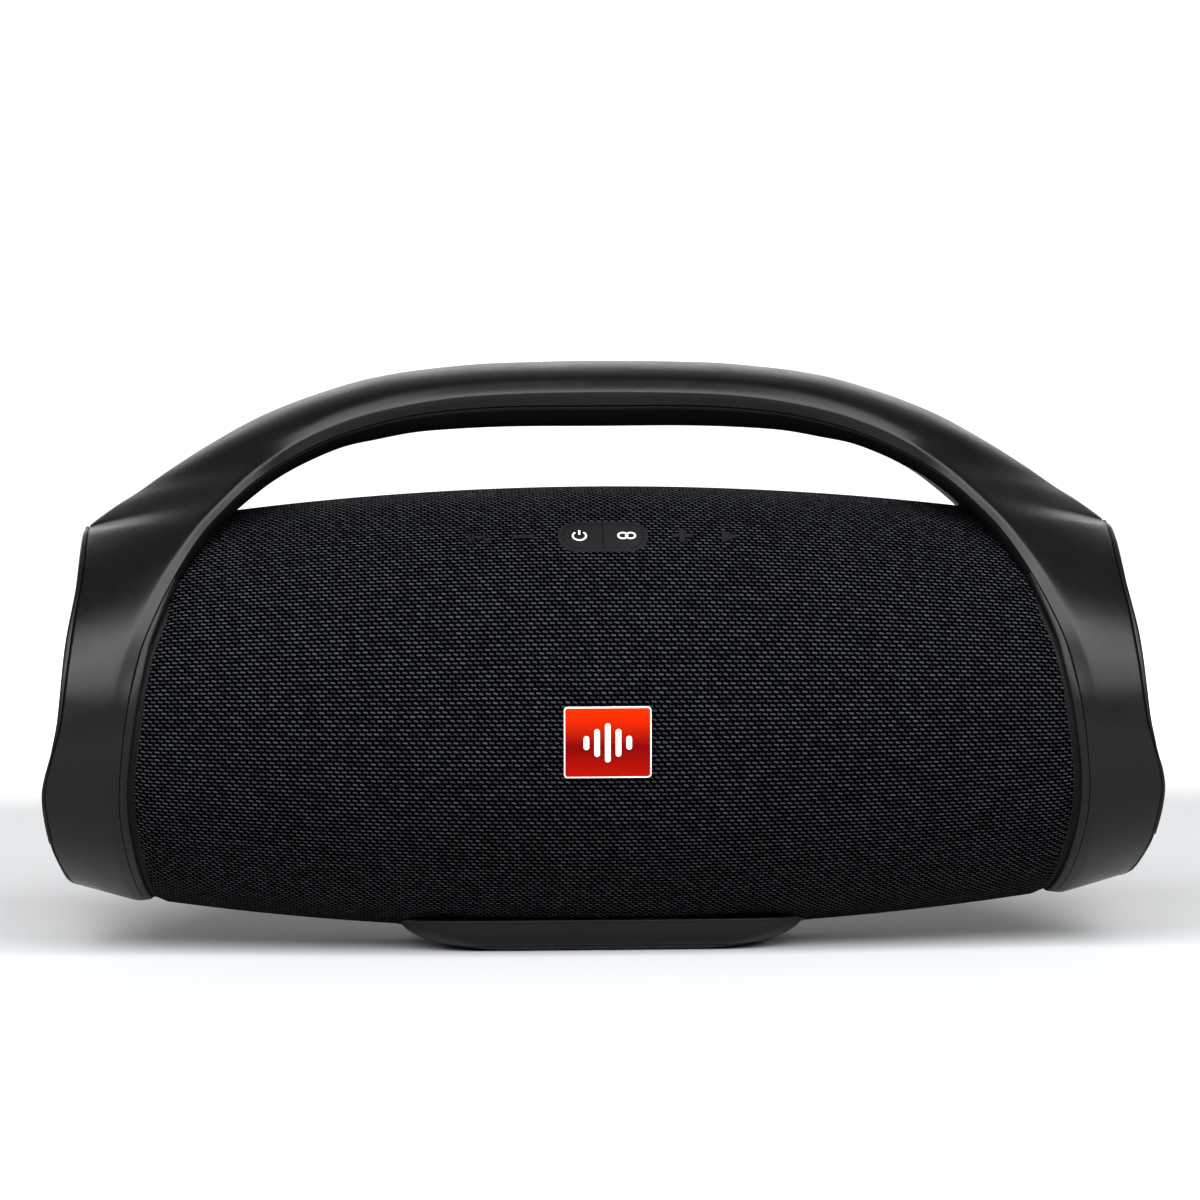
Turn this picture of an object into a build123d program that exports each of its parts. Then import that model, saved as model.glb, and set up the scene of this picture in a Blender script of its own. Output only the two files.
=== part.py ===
from build123d import *
import math
import os

os.makedirs("parts", exist_ok=True)

# A portable speaker: a cloth-covered barrel lying along X between two end rings,
# which one arched carry handle joins. Millimetres; X is the width, -Y the front,
# +Z up, and the origin is the middle of the sole, on the floor.

# ---- driving dimensions -------------------------------------------------------
AXIS_Z = 104.7  # height of the barrel's axis
BARREL_RADIUS = 98.8  # over the cloth, at mid-width
CROWN_DROP = 14.8  # how much smaller the radius is at CROWN_X
CROWN_X = 200.0
CROWN_ARC = (CROWN_X**2 + CROWN_DROP**2) / (2 * CROWN_DROP)

CLOTH = 1.2  # thickness of the woven sleeve
SKIN_GAP = 0.2  # between the sleeve and the enclosure
WALL = 3.5  # enclosure wall
SHELL_INSET = CLOTH + SKIN_GAP
INNER_INSET = SHELL_INSET + WALL
SHELL_END = 212.0  # half length of the enclosure
CLOTH_END = 208.0

RING_RADIUS = 88.0  # end ring, where it meets the cloth
RIM_RADIUS = 79.5  # end ring, at its outer rim
RING_BORE = 74.0
HANDLE_HALF_DEPTH = 28.0
HANDLE_TOP = 154.9  # above the barrel's axis
SEAM = 0.12  # visible seams between fixed mouldings

WOOFER_X = 88.0
WOOFER_RADIUS = 53.0
WOOFER_LANDING = 73.0  # depth of the flange's seat in front of the axis
TWEETER_X = 168.0
TWEETER_RADIUS = 14.5
TWEETER_LANDING = 80.0

KEY_ANGLE = 54.0  # of the key row, above the front horizontal
STEM_END = 91.6  # radius that every key's stem reaches down to
BADGE_ANGLE = -3.8

DOOR_WIDTH = 116.0
DOOR_HEIGHT = 46.0
TRAY_FLOOR = 78.0  # distance behind the axis
BOARD = 1.6  # circuit board thickness

SOLE = 2.7
FOOT_TOP = 15.5
SCREW = 1.5  # shank radius of every screw
SCREW_HEAD = 2.7

FRONT = Plane((0, 0, AXIS_Z), x_dir=(1, 0, 0), z_dir=(0, -1, 0))
SIDE = Plane((0, 0, AXIS_Z), x_dir=(0, 1, 0), z_dir=(1, 0, 0))
BARREL_AXIS = Axis((0, 0, AXIS_Z), (1, 0, 0))
SIDES = {"left": -1, "right": 1}

# Front-view outlines of the ring-and-handle moulding, right half, as (x, height
# above the axis): the outer edge, the inner edge, and the seam of the band that
# lines the inside of the arch.
OUTER_EDGE = [
    (0, HANDLE_TOP), (45, 154), (85.7, 150.2), (123.5, 141.3), (157.3, 127.9), (187, 110),
    (212, 92.3), (223.4, 84.5), (229.2, 77), (232, 56.5), (236, 31), (238.9, 6),
    (243.5, -21), (244.9, -32), (243.4, -49), (240, -64), (234, -76), (222, -92),
]
INNER_EDGE = [
    (0, 126.3), (45.6, 126.1), (81.4, 124), (117, 116.6), (144, 103), (169.4, 82),
    (193, 42), (201, 15), (206.7, -34), (203, -66), (196, -92),
]
BAND_SEAM = [
    (0, 133.3), (45.6, 133), (81.4, 130.6), (117, 122.4), (145.5, 108), (172.5, 85),
    (196.4, 43), (204.6, 15.5), (210.1, -34), (206.4, -66), (199.4, -92),
]
BEZEL_SEAM = [
    (223.4, 96), (225, 77), (228, 56.5), (232, 31), (234.9, 6), (239.5, -21),
    (240.8, -32), (239.4, -49), (236, -64), (230, -77), (221, -92),
]


def barrel_radius(x):
    """Radius over the cloth at a distance x from mid-width."""
    return BARREL_RADIUS - CROWN_ARC + math.sqrt(CROWN_ARC**2 - x**2)


def finish(block, name):
    """Label a finished piece and write it out."""
    piece = block.part
    piece.label = name
    export_step(piece, f"parts/{name}.step")
    return piece


def barrel(inset, half_length):
    """The crowned barrel with its surface moved in by inset."""
    end = barrel_radius(half_length) - inset
    with BuildPart() as block:
        with BuildSketch(FRONT):
            with BuildLine():
                crown = ThreePointArc(
                    (-half_length, end), (0, BARREL_RADIUS - inset), (half_length, end)
                )
                Polyline(crown @ 0, (-half_length, 0), (half_length, 0), crown @ 1)
            make_face()
        revolve(axis=BARREL_AXIS)
    return block.part


def arch_plate(upper, lower):
    """A deep plate between two outlines, the same left and right."""
    with BuildPart() as block:
        with BuildSketch(FRONT):
            with BuildLine():
                top = Spline(*upper, tangents=[(1, 0), (-0.7, -1)])
                bottom = Spline(*lower, tangents=[(1, 0), (-0.3, -1)])
                Line(top @ 0, bottom @ 0)
                Line(top @ 1, bottom @ 1)
            make_face()
            mirror(about=Plane.YZ)
        extrude(amount=1.2 * RING_RADIUS, both=True)
    return block.part


def moved_out(outline, gap):
    """An outline moved away from the middle by a seam's width."""
    return [(x + gap if x else 0, height + gap) for x, height in outline]


def kettlebell(inset):
    """Side-view section of ring and handle, narrowing towards the outer rims."""
    taper_end = 246.0
    stations = (
        (-taper_end, RIM_RADIUS, 22.0, 150.0),
        (-CROWN_X, RING_RADIUS, HANDLE_HALF_DEPTH, HANDLE_TOP + 0.3),
        (CROWN_X, RING_RADIUS, HANDLE_HALF_DEPTH, HANDLE_TOP + 0.3),
        (taper_end, RIM_RADIUS, 22.0, 150.0),
    )
    crown_drop = 12.0
    with BuildPart() as block:
        for x, ring, neck, top in stations:
            radius = ring - inset
            half = neck - inset
            flare = neck + 22 - inset
            with BuildSketch(SIDE.offset(x)):
                with BuildLine():
                    round_part = CenterArc((0, 0), radius, 155, 230)
                    crown = ThreePointArc(
                        (-half, top - crown_drop), (0, top), (half, top - crown_drop)
                    )
                    Spline(
                        round_part @ 1, (flare, ring * 0.95 + 8), (half + 4, top - 38), crown @ 1,
                        tangents=[round_part % 1, (-0.05, 1)],
                    )
                    Spline(
                        round_part @ 0, (-flare, ring * 0.95 + 8), (-half - 4, top - 38), crown @ 0,
                        tangents=[-(round_part % 0), (0.05, 1)],
                    )
                make_face()
        loft(ruled=True)
    return block.part


def radial_plane(angle, x, distance):
    """Plane facing out of the barrel's front at an angle above the horizontal."""
    turn = math.radians(angle)
    out = (0, -math.cos(turn), math.sin(turn))
    origin = (x, out[1] * distance, AXIS_Z + out[2] * distance)
    return Plane(origin, x_dir=(1, 0, 0), z_dir=out)


def end_plane(side, x):
    """Plane facing outwards at one end of the barrel."""
    return Plane((side * x, 0, AXIS_Z), x_dir=(0, 1, 0), z_dir=(side, 0, 0))


def front_plane(x, distance):
    """Plane facing the front, at a distance in front of the axis."""
    return Plane((x, -distance, AXIS_Z), x_dir=(1, 0, 0), z_dir=(0, -1, 0))


def rear_plane(distance):
    """Plane facing the back, at a distance behind the axis, seen from behind."""
    return Plane((0, distance, AXIS_Z), x_dir=(-1, 0, 0), z_dir=(0, 1, 0))


def around(radius, angles):
    """Points at given angles on a circle about the axis."""
    return [
        (radius * math.cos(math.radians(angle)), radius * math.sin(math.radians(angle)))
        for angle in angles
    ]


# ---- key row: places and outlines ---------------------------------------------
PILL_WIDTH = 39.2
PILL_HEIGHT = 20.6
PILL_CORNER = 9.0
PILL_RIM = 2.0
ICON_KEYS = {
    "button_volume_down": -34.6,
    "button_volume_up": 34.6,
    "button_wireless": -54.2,
    "button_play": 54.2,
}
PILL_KEYS = {"button_power": -1, "button_link": 1}
PILL_STEM_X = 8.7
KEY_GAP = 0.35
KEY_DISC = 5.6


def icon_outline(name, grow):
    """Draw a key's raised symbol in the open sketch, grown by a clearance."""
    half = 4.4
    stroke = 1.1
    if name in ("button_volume_down", "button_volume_up"):
        Rectangle(2 * (half + grow), 2 * (stroke + grow))
    if name == "button_volume_up":
        Rectangle(2 * (stroke + grow), 2 * (half + grow))
    if name == "button_play":
        RegularPolygon(half + 0.4 + 1.6 * grow, 3)
    if name == "button_wireless":
        for radius in (4.5, 2.7):
            Circle(radius + 0.45 + grow)
            Circle(radius - 0.45 - grow, mode=Mode.SUBTRACT)
        for up in (-1, 1):
            tip = 1.3 * grow
            wedge = [(0, up * tip), (-8, up * (tip + 8)), (8, up * (tip + 8))]
            Polygon(*wedge, align=None, mode=Mode.SUBTRACT)
        Circle(1.2 + grow)


# ---- common blanks -------------------------------------------------------------
envelope = barrel(SHELL_INSET, SHELL_END)
cavity = barrel(INNER_INSET, SHELL_END - 4)
clearance = barrel(-0.3, SHELL_END + 1)

with BuildPart() as bore:
    with BuildSketch(SIDE.offset(-260)):
        Circle(RING_BORE)
    extrude(amount=520)

with BuildPart() as moulding:
    add(arch_plate(OUTER_EDGE, INNER_EDGE))
    add(kettlebell(0), mode=Mode.INTERSECT)
    add(clearance, mode=Mode.SUBTRACT)
    add(bore.part, mode=Mode.SUBTRACT)


def rim_zone(gap):
    """Everything outside the bezel seams, both sides."""
    with BuildPart() as block:
        with BuildSketch(FRONT):
            with BuildLine():
                seam = Spline(*[(x - gap, height) for x, height in BEZEL_SEAM])
                Polyline(seam @ 0, (262, 96), (262, -92), seam @ 1)
            make_face()
            mirror(about=Plane.YZ)
        extrude(amount=1.2 * RING_RADIUS, both=True)
    return block.part


# ---- ring and handle moulding --------------------------------------------------
RING_SCREWS = around(78.2, (-60, -120, 20, 160))
RING_SCREW_SEAT = 219.0

with BuildPart() as handle_hollow:
    with BuildSketch(FRONT):
        with BuildLine():
            roof = Spline((0, 146), (60, 144), (110, 136), (150, 122), tangents=[(1, 0), (1, -0.6)])
            floor = Spline((0, 128), (60, 127), (110, 118), (140, 105), tangents=[(1, 0), (1, -0.6)])
            Line(roof @ 0, floor @ 0)
            Line(roof @ 1, floor @ 1)
        make_face()
        mirror(about=Plane.YZ)
    extrude(amount=17, both=True)

with BuildPart() as handle_frame:
    add(moulding.part)
    add(arch_plate(moved_out(BAND_SEAM, SEAM), INNER_EDGE), mode=Mode.SUBTRACT)
    add(rim_zone(SEAM), mode=Mode.SUBTRACT)
    add(handle_hollow.part, mode=Mode.SUBTRACT)
    for side in SIDES.values():
        for radius, start in ((SCREW + 0.3, SHELL_END), (SCREW_HEAD + 0.5, RING_SCREW_SEAT)):
            with BuildSketch(end_plane(side, start)):
                with Locations(*RING_SCREWS):
                    Circle(radius)
            extrude(amount=45, mode=Mode.SUBTRACT)
finish(handle_frame, "handle_frame")

# The lining band: one lip round each ring and the grip insert under the handle.
LIP_TOP = 62.0
with BuildPart() as band:
    add(arch_plate(BAND_SEAM, INNER_EDGE))
    add(kettlebell(0.5), mode=Mode.INTERSECT)
    add(clearance, mode=Mode.SUBTRACT)
    with BuildSketch(FRONT):
        with Locations((0, LIP_TOP)):
            Rectangle(520, 2 * SEAM)
    extrude(amount=1.2 * RING_RADIUS, both=True, mode=Mode.SUBTRACT)
band_pieces = band.part.solids().sort_by(Axis.X)
for name, index in (("ring_lip_left", 0), ("handle_grip", 1), ("ring_lip_right", 2)):
    with BuildPart() as piece:
        add(band_pieces[index])
    finish(piece, name)

with BuildPart() as bezels:
    add(moulding.part)
    add(rim_zone(0), mode=Mode.INTERSECT)
bezel_pieces = bezels.part.solids().sort_by(Axis.X)
for name, index in (("end_bezel_left", 0), ("end_bezel_right", -1)):
    with BuildPart() as piece:
        add(bezel_pieces[index])
    finish(piece, name)

with BuildPart() as frame_screws:
    for side in SIDES.values():
        for radius, start, end in (
            (SCREW, SHELL_END - 5, RING_SCREW_SEAT + 0.5),
            (SCREW_HEAD, RING_SCREW_SEAT + 0.1, RING_SCREW_SEAT + 2.1),
        ):
            with BuildSketch(end_plane(side, start)):
                with Locations(*RING_SCREWS):
                    Circle(radius)
            extrude(amount=end - start)
finish(frame_screws, "frame_screws")

# ---- enclosure -----------------------------------------------------------------
RADIATOR_OPENING = 64.0
RADIATOR_SCREW_RADIUS = 68.5
BOSS_RADIUS = 5.2
BOSS_PLACES = [
    (x, up * (barrel_radius(x) - INNER_INSET - 3))
    for x in (-186, -102, 102, 186)
    for up in (-1, 1)
]
BADGE_POSTS = (-12.0, 12.0)
FOOT_SCREWS = [(x, y) for x in (-58, 58) for y in (-22, 22)]
DRIVER_SEATS = [
    (side * x, radius, landing)
    for side in SIDES.values()
    for x, radius, landing in (
        (WOOFER_X, WOOFER_RADIUS, WOOFER_LANDING),
        (TWEETER_X, TWEETER_RADIUS, TWEETER_LANDING),
    )
]

with BuildPart() as door_tunnel:
    with BuildSketch(rear_plane(60)):
        RectangleRounded(DOOR_WIDTH + 9, DOOR_HEIGHT + 13, 9)
    extrude(amount=60)

# Short drums sunk into the front, whose floors are the drivers' flat seats, and
# the screw bosses that run from front to back.
with BuildPart() as drums_and_bosses:
    for x, radius, landing in DRIVER_SEATS:
        with BuildSketch(front_plane(x, landing - 4)):
            Circle(radius + 3.3)
        extrude(amount=40)
    with BuildSketch(front_plane(0, 16)):
        with Locations(*BOSS_PLACES):
            Circle(BOSS_RADIUS)
    extrude(amount=-120)
    add(envelope, mode=Mode.INTERSECT)

with BuildPart() as shell:
    add(envelope)
    add(cavity, mode=Mode.SUBTRACT)
    add(drums_and_bosses.part)
    for x, radius, landing in DRIVER_SEATS:
        with BuildSketch(front_plane(x, landing)):
            Circle(radius + 0.3)
        extrude(amount=40, mode=Mode.SUBTRACT)
        with BuildSketch(front_plane(x, landing - 8)):
            Circle(radius - 5.5)
        extrude(amount=40, mode=Mode.SUBTRACT)
        with BuildSketch(front_plane(x, landing - 5)):
            with PolarLocations(radius - 2.7, 4, start_angle=45):
                Circle(0.8)
        extrude(amount=12, mode=Mode.SUBTRACT)
    # Radiator opening and screw holes in each end.
    for side in SIDES.values():
        with BuildSketch(end_plane(side, SHELL_END - 12)):
            Circle(RADIATOR_OPENING)
        extrude(amount=20, mode=Mode.SUBTRACT)
        with BuildSketch(end_plane(side, SHELL_END - 6)):
            with Locations(*RING_SCREWS):
                Circle(SCREW + 0.1)
            with PolarLocations(RADIATOR_SCREW_RADIUS, 6, start_angle=30):
                Circle(SCREW - 0.3)
        extrude(amount=20, mode=Mode.SUBTRACT)
    # Screw channels: shank hole, then a wide channel for the head.
    with BuildSketch(front_plane(0, 14)):
        with Locations(*BOSS_PLACES):
            Circle(SCREW + 0.1)
    extrude(amount=-32, mode=Mode.SUBTRACT)
    with BuildSketch(front_plane(0, -16)):
        with Locations(*BOSS_PLACES):
            Circle(SCREW_HEAD + 0.6)
    extrude(amount=-100, mode=Mode.SUBTRACT)
    # Key row: pill opening, disc pockets and stem holes.
    with BuildSketch(radial_plane(KEY_ANGLE, 0, BARREL_RADIUS - 3.3)):
        RectangleRounded(PILL_WIDTH + 0.3, PILL_HEIGHT + 0.3, PILL_CORNER)
    extrude(amount=20, mode=Mode.SUBTRACT)
    with BuildSketch(radial_plane(KEY_ANGLE, 0, BARREL_RADIUS - 12)):
        RectangleRounded(PILL_WIDTH - 4, PILL_HEIGHT - 4, PILL_CORNER - 2)
    extrude(amount=20, mode=Mode.SUBTRACT)
    for x in ICON_KEYS.values():
        level = barrel_radius(x)
        with BuildSketch(radial_plane(KEY_ANGLE, x, level - 4.1)):
            Circle(KEY_DISC + 0.3)
        extrude(amount=10, mode=Mode.SUBTRACT)
        with BuildSketch(radial_plane(KEY_ANGLE, x, level - 12)):
            Circle(2.4)
        extrude(amount=20, mode=Mode.SUBTRACT)
    # Foot screw holes, badge post holes and the opening for the connector tray.
    with BuildSketch(Plane.XY):
        with Locations(*FOOT_SCREWS):
            Circle(SCREW + 0.1)
    extrude(amount=18, mode=Mode.SUBTRACT)
    for x in BADGE_POSTS:
        with BuildSketch(radial_plane(BADGE_ANGLE, x, BARREL_RADIUS - 12)):
            Circle(1.8)
        extrude(amount=20, mode=Mode.SUBTRACT)
    add(door_tunnel.part, mode=Mode.SUBTRACT)

GASKET = 1.0
with BuildPart() as enclosure_front:
    add(shell.part)
    with BuildSketch(rear_plane(-GASKET / 2)):
        Rectangle(600, 400)
    extrude(amount=200, mode=Mode.SUBTRACT)
finish(enclosure_front, "enclosure_front")

with BuildPart() as enclosure_rear:
    add(shell.part)
    with BuildSketch(front_plane(0, -GASKET / 2)):
        Rectangle(600, 400)
    extrude(amount=200, mode=Mode.SUBTRACT)
finish(enclosure_rear, "enclosure_rear")

with BuildPart() as enclosure_gasket:
    add(shell.part)
    with BuildSketch(front_plane(0, -GASKET / 2)):
        Rectangle(600, 400)
    extrude(amount=GASKET, mode=Mode.INTERSECT)
finish(enclosure_gasket, "enclosure_gasket")

with BuildPart() as enclosure_screws:
    for radius, start, length in ((SCREW, 12, 28), (SCREW_HEAD, -16, 2.2)):
        with BuildSketch(front_plane(0, start)):
            with Locations(*BOSS_PLACES):
                Circle(radius)
        extrude(amount=-length)
finish(enclosure_screws, "enclosure_screws")

# ---- cloth sleeve --------------------------------------------------------------
with BuildPart() as speaker_cloth:
    add(barrel(0, CLOTH_END))
    add(barrel(CLOTH, CLOTH_END + 5), mode=Mode.SUBTRACT)
    with BuildSketch(radial_plane(KEY_ANGLE, 0, BARREL_RADIUS - 6)):
        RectangleRounded(PILL_WIDTH + 0.3, PILL_HEIGHT + 0.3, PILL_CORNER)
    extrude(amount=12, mode=Mode.SUBTRACT)
    for name, x in ICON_KEYS.items():
        with BuildSketch(radial_plane(KEY_ANGLE, x, BARREL_RADIUS - 8)):
            icon_outline(name, 0.3)
        extrude(amount=14, mode=Mode.SUBTRACT)
    for x in BADGE_POSTS:
        with BuildSketch(radial_plane(BADGE_ANGLE, x, BARREL_RADIUS - 6)):
            Circle(1.8)
        extrude(amount=12, mode=Mode.SUBTRACT)
    with BuildSketch(Plane.XY):
        with Locations(*FOOT_SCREWS):
            Circle(SCREW + 0.4)
    extrude(amount=30, mode=Mode.SUBTRACT)
    add(door_tunnel.part, mode=Mode.SUBTRACT)
finish(speaker_cloth, "speaker_cloth")

# ---- passive radiators ---------------------------------------------------------
DISC_RADIUS = 46.0
ROLL_OUTER = 60.0
for name, side in SIDES.items():
    with BuildPart() as radiator_basket:
        with BuildSketch(end_plane(side, SHELL_END + 0.2)):
            Circle(73.0)
            Circle(ROLL_OUTER, mode=Mode.SUBTRACT)
            with PolarLocations(RADIATOR_SCREW_RADIUS, 6, start_angle=30):
                Circle(SCREW + 0.2, mode=Mode.SUBTRACT)
        extrude(amount=5)
    finish(radiator_basket, f"radiator_basket_{name}")

    roll = (ROLL_OUTER - DISC_RADIUS) / 2
    with BuildPart() as radiator_surround:
        with BuildSketch(Plane((side * (SHELL_END + 4), 0, AXIS_Z), x_dir=(0, 1, 0), z_dir=(0, 0, 1))):
            with Locations(((DISC_RADIUS + ROLL_OUTER) / 2, 0)):
                Circle(roll)
                Circle(roll - 1.3, mode=Mode.SUBTRACT)
                with Locations((0, 2 * side * roll)):
                    Rectangle(4 * roll, 4 * roll, mode=Mode.SUBTRACT)
        revolve(axis=BARREL_AXIS)
    finish(radiator_surround, f"radiator_surround_{name}")

    with BuildPart() as radiator_disc:
        with BuildSketch(end_plane(side, SHELL_END + 1)):
            Circle(DISC_RADIUS - 0.2)
        extrude(amount=4)
        with BuildSketch(end_plane(side, SHELL_END + 5)):
            Circle(DISC_RADIUS - 4)
        extrude(amount=1.6, taper=30)
        fillet(radiator_disc.edges().filter_by(GeomType.CIRCLE).sort_by(Axis.X)[-side // 2], 1.0)
        with BuildSketch(end_plane(side, SHELL_END - 12)):
            Circle(18)
        extrude(amount=14)
    finish(radiator_disc, f"radiator_disc_{name}")

with BuildPart() as radiator_screws:
    for side in SIDES.values():
        for radius, start, length in (
            (SCREW - 0.35, SHELL_END - 5, 11),
            (SCREW_HEAD, SHELL_END + 5.3, 1.8),
        ):
            with BuildSketch(end_plane(side, start)):
                with PolarLocations(RADIATOR_SCREW_RADIUS, 6, start_angle=30):
                    Circle(radius)
            extrude(amount=length)
finish(radiator_screws, "radiator_screws")

# ---- woofers and tweeters ------------------------------------------------------
CONE_RADIUS = 38.0
WOOFER_ROLL = 46.5


def woofer_profile_plane(x):
    """Half-section plane of a woofer: local x is its radius, local y its depth."""
    return Plane((x, 0, AXIS_Z), x_dir=(1, 0, 0), z_dir=(0, 0, 1))


for name, side in SIDES.items():
    x = side * WOOFER_X
    driver_axis = Axis((x, 0, AXIS_Z), (0, 1, 0))
    with BuildPart() as woofer_basket:
        with BuildSketch(woofer_profile_plane(x)):
            with BuildLine():
                Polyline(
                    (46.7, -76), (52.7, -76), (52.7, -73.2), (47.2, -73.2), (46.4, -66), (31, -38),
                    (20, -38), (20, -40.5), (29.4, -40.5), (43.9, -67.5), (44.5, -71.8),
                    (46.7, -71.8), close=True,
                )
            make_face()
        revolve(axis=driver_axis)
        with BuildSketch(front_plane(x, 72)):
            with PolarLocations(WOOFER_RADIUS - 2.7, 4, start_angle=45):
                Circle(1.3)
        extrude(amount=6, mode=Mode.SUBTRACT)
        # Windows between the basket's spokes.
        with BuildSketch(front_plane(x, 44)):
            with PolarLocations(38, 6):
                Rectangle(30, 17)
        extrude(amount=18, mode=Mode.SUBTRACT)
    finish(woofer_basket, f"woofer_basket_{name}")

    with BuildPart() as woofer_magnet:
        with BuildSketch(front_plane(x, 14)):
            Circle(30)
        extrude(amount=23.8)
        chamfer(woofer_magnet.edges().filter_by(GeomType.CIRCLE), 1.2)
        with BuildSketch(front_plane(x, 20)):
            Circle(15.2)
            Circle(12.6, mode=Mode.SUBTRACT)
        extrude(amount=20, mode=Mode.SUBTRACT)
    finish(woofer_magnet, f"woofer_magnet_{name}")

    with BuildPart() as woofer_cone:
        with BuildSketch(woofer_profile_plane(x)):
            with BuildLine():
                dome = ThreePointArc((0, -66.5), (8, -65.2), (15.5, -60.5))
                Polyline(
                    dome @ 1, (CONE_RADIUS - 0.2, -73), (CONE_RADIUS - 0.2, -71.6), (15.0, -57),
                    (14.3, -57), (14.3, -26.5), (13.3, -26.5), (13.3, -58), (0, -65.2), dome @ 0,
                )
            make_face()
        revolve(axis=driver_axis)
    finish(woofer_cone, f"woofer_cone_{name}")

    roll = (WOOFER_ROLL - CONE_RADIUS) / 2
    with BuildPart() as woofer_surround:
        with BuildSketch(woofer_profile_plane(x)):
            with Locations(((WOOFER_ROLL + CONE_RADIUS) / 2, -72)):
                Circle(roll)
                Circle(roll - 0.8, mode=Mode.SUBTRACT)
                with Locations((0, 2 * roll)):
                    Rectangle(4 * roll, 4 * roll, mode=Mode.SUBTRACT)
        revolve(axis=driver_axis)
    finish(woofer_surround, f"woofer_surround_{name}")

    tweeter_x = side * TWEETER_X
    with BuildPart() as tweeter:
        with BuildSketch(front_plane(tweeter_x, TWEETER_LANDING + 0.2)):
            Circle(TWEETER_RADIUS - 0.2)
            with PolarLocations(TWEETER_RADIUS - 2.7, 4, start_angle=45):
                Circle(1.3, mode=Mode.SUBTRACT)
        extrude(amount=2.4)
        with BuildSketch(front_plane(tweeter_x, TWEETER_LANDING - 14)):
            Circle(TWEETER_RADIUS - 6)
        extrude(amount=15)
        with BuildSketch(front_plane(tweeter_x, TWEETER_LANDING + 1.2)):
            Circle(8)
            Circle(5.8, mode=Mode.SUBTRACT)
        extrude(amount=4, mode=Mode.SUBTRACT)
    finish(tweeter, f"tweeter_{name}")

with BuildPart() as driver_screws:
    for x, radius, landing in DRIVER_SEATS:
        for size, start, length in ((0.75, landing - 3.5, 7), (1.9, landing + 3.1, 0.9)):
            with BuildSketch(front_plane(x, start)):
                with PolarLocations(radius - 2.7, 4, start_angle=45):
                    Circle(size)
            extrude(amount=length)
finish(driver_screws, "driver_screws")

# ---- keys ----------------------------------------------------------------------
with BuildPart() as pad_skin:
    add(barrel(-0.25, 60))

with BuildPart() as control_pad:
    with BuildSketch(radial_plane(KEY_ANGLE, 0, BARREL_RADIUS - 3.2)):
        RectangleRounded(PILL_WIDTH, PILL_HEIGHT, PILL_CORNER)
    extrude(amount=12)
    add(pad_skin.part, mode=Mode.INTERSECT)
    with BuildSketch(radial_plane(KEY_ANGLE, 0, BARREL_RADIUS - 6)):
        RectangleRounded(PILL_WIDTH - 2 * PILL_RIM, PILL_HEIGHT - 2 * PILL_RIM, PILL_CORNER - PILL_RIM)
    extrude(amount=12, mode=Mode.SUBTRACT)
finish(control_pad, "control_pad")

key_inset = PILL_RIM + KEY_GAP
for name, side in PILL_KEYS.items():
    with BuildPart() as key:
        with BuildSketch(radial_plane(KEY_ANGLE, 0, BARREL_RADIUS - 3.0)):
            RectangleRounded(PILL_WIDTH - 2 * key_inset, PILL_HEIGHT - 2 * key_inset, PILL_CORNER - key_inset)
            with Locations((-side * (PILL_WIDTH / 2 - KEY_GAP / 2), 0)):
                Rectangle(PILL_WIDTH, PILL_HEIGHT, mode=Mode.SUBTRACT)
        extrude(amount=12)
        add(pad_skin.part, mode=Mode.INTERSECT)
        with BuildSketch(radial_plane(KEY_ANGLE, side * PILL_STEM_X, STEM_END)):
            Circle(2)
        extrude(amount=BARREL_RADIUS - 2 - STEM_END)
    finish(key, name)

for name, x in ICON_KEYS.items():
    level = barrel_radius(x)
    with BuildPart() as key:
        with BuildSketch(radial_plane(KEY_ANGLE, x, level - 3.2)):
            Circle(KEY_DISC)
        extrude(amount=1.2)
        with BuildSketch(radial_plane(KEY_ANGLE, x, level - 2.5)):
            icon_outline(name, 0)
        extrude(amount=3.1)
        with BuildSketch(radial_plane(KEY_ANGLE, x, STEM_END)):
            Circle(2)
        extrude(amount=level - 3 - STEM_END)
    finish(key, name)

key_places = [(x, 0) for x in (*ICON_KEYS.values(), -PILL_STEM_X, PILL_STEM_X)]
with BuildPart() as button_board:
    with BuildSketch(radial_plane(KEY_ANGLE, 0, STEM_END - 4.4)):
        RectangleRounded(128, 20, 3)
    extrude(amount=BOARD)
    with BuildSketch(radial_plane(KEY_ANGLE, 0, STEM_END - 2.8)):
        with Locations(*key_places):
            RectangleRounded(6, 6, 0.6)
    extrude(amount=1.4)
    with BuildSketch(radial_plane(KEY_ANGLE, 0, STEM_END - 1.4)):
        with Locations(*key_places):
            Circle(1.6)
    extrude(amount=0.5)
finish(button_board, "button_board")

# ---- badge ---------------------------------------------------------------------
BADGE_WIDTH = 37.6
BADGE_HEIGHT = 30.8
BADGE_CORNER = 1.6
BADGE_RIM = 0.5
BADGE_FACE = 1.5  # height of the plate over the cloth


def badge_layer(inset, low, high):
    """One curved layer of the badge, between two heights over the cloth."""
    with BuildPart() as block:
        with BuildSketch(radial_plane(BADGE_ANGLE, 0, BARREL_RADIUS - 8)):
            RectangleRounded(BADGE_WIDTH - 2 * inset, BADGE_HEIGHT - 2 * inset, BADGE_CORNER - inset)
        extrude(amount=20)
        add(barrel(-high, 60), mode=Mode.INTERSECT)
        add(barrel(-low, 60), mode=Mode.SUBTRACT)
    return block.part


with BuildPart() as badge_plate:
    add(badge_layer(BADGE_RIM + 0.1, 0.15, BADGE_FACE))
    for x in BADGE_POSTS:
        with BuildSketch(radial_plane(BADGE_ANGLE, x, BARREL_RADIUS - 4)):
            Circle(1.5)
        extrude(amount=4.8)
finish(badge_plate, "badge_plate")

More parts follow.
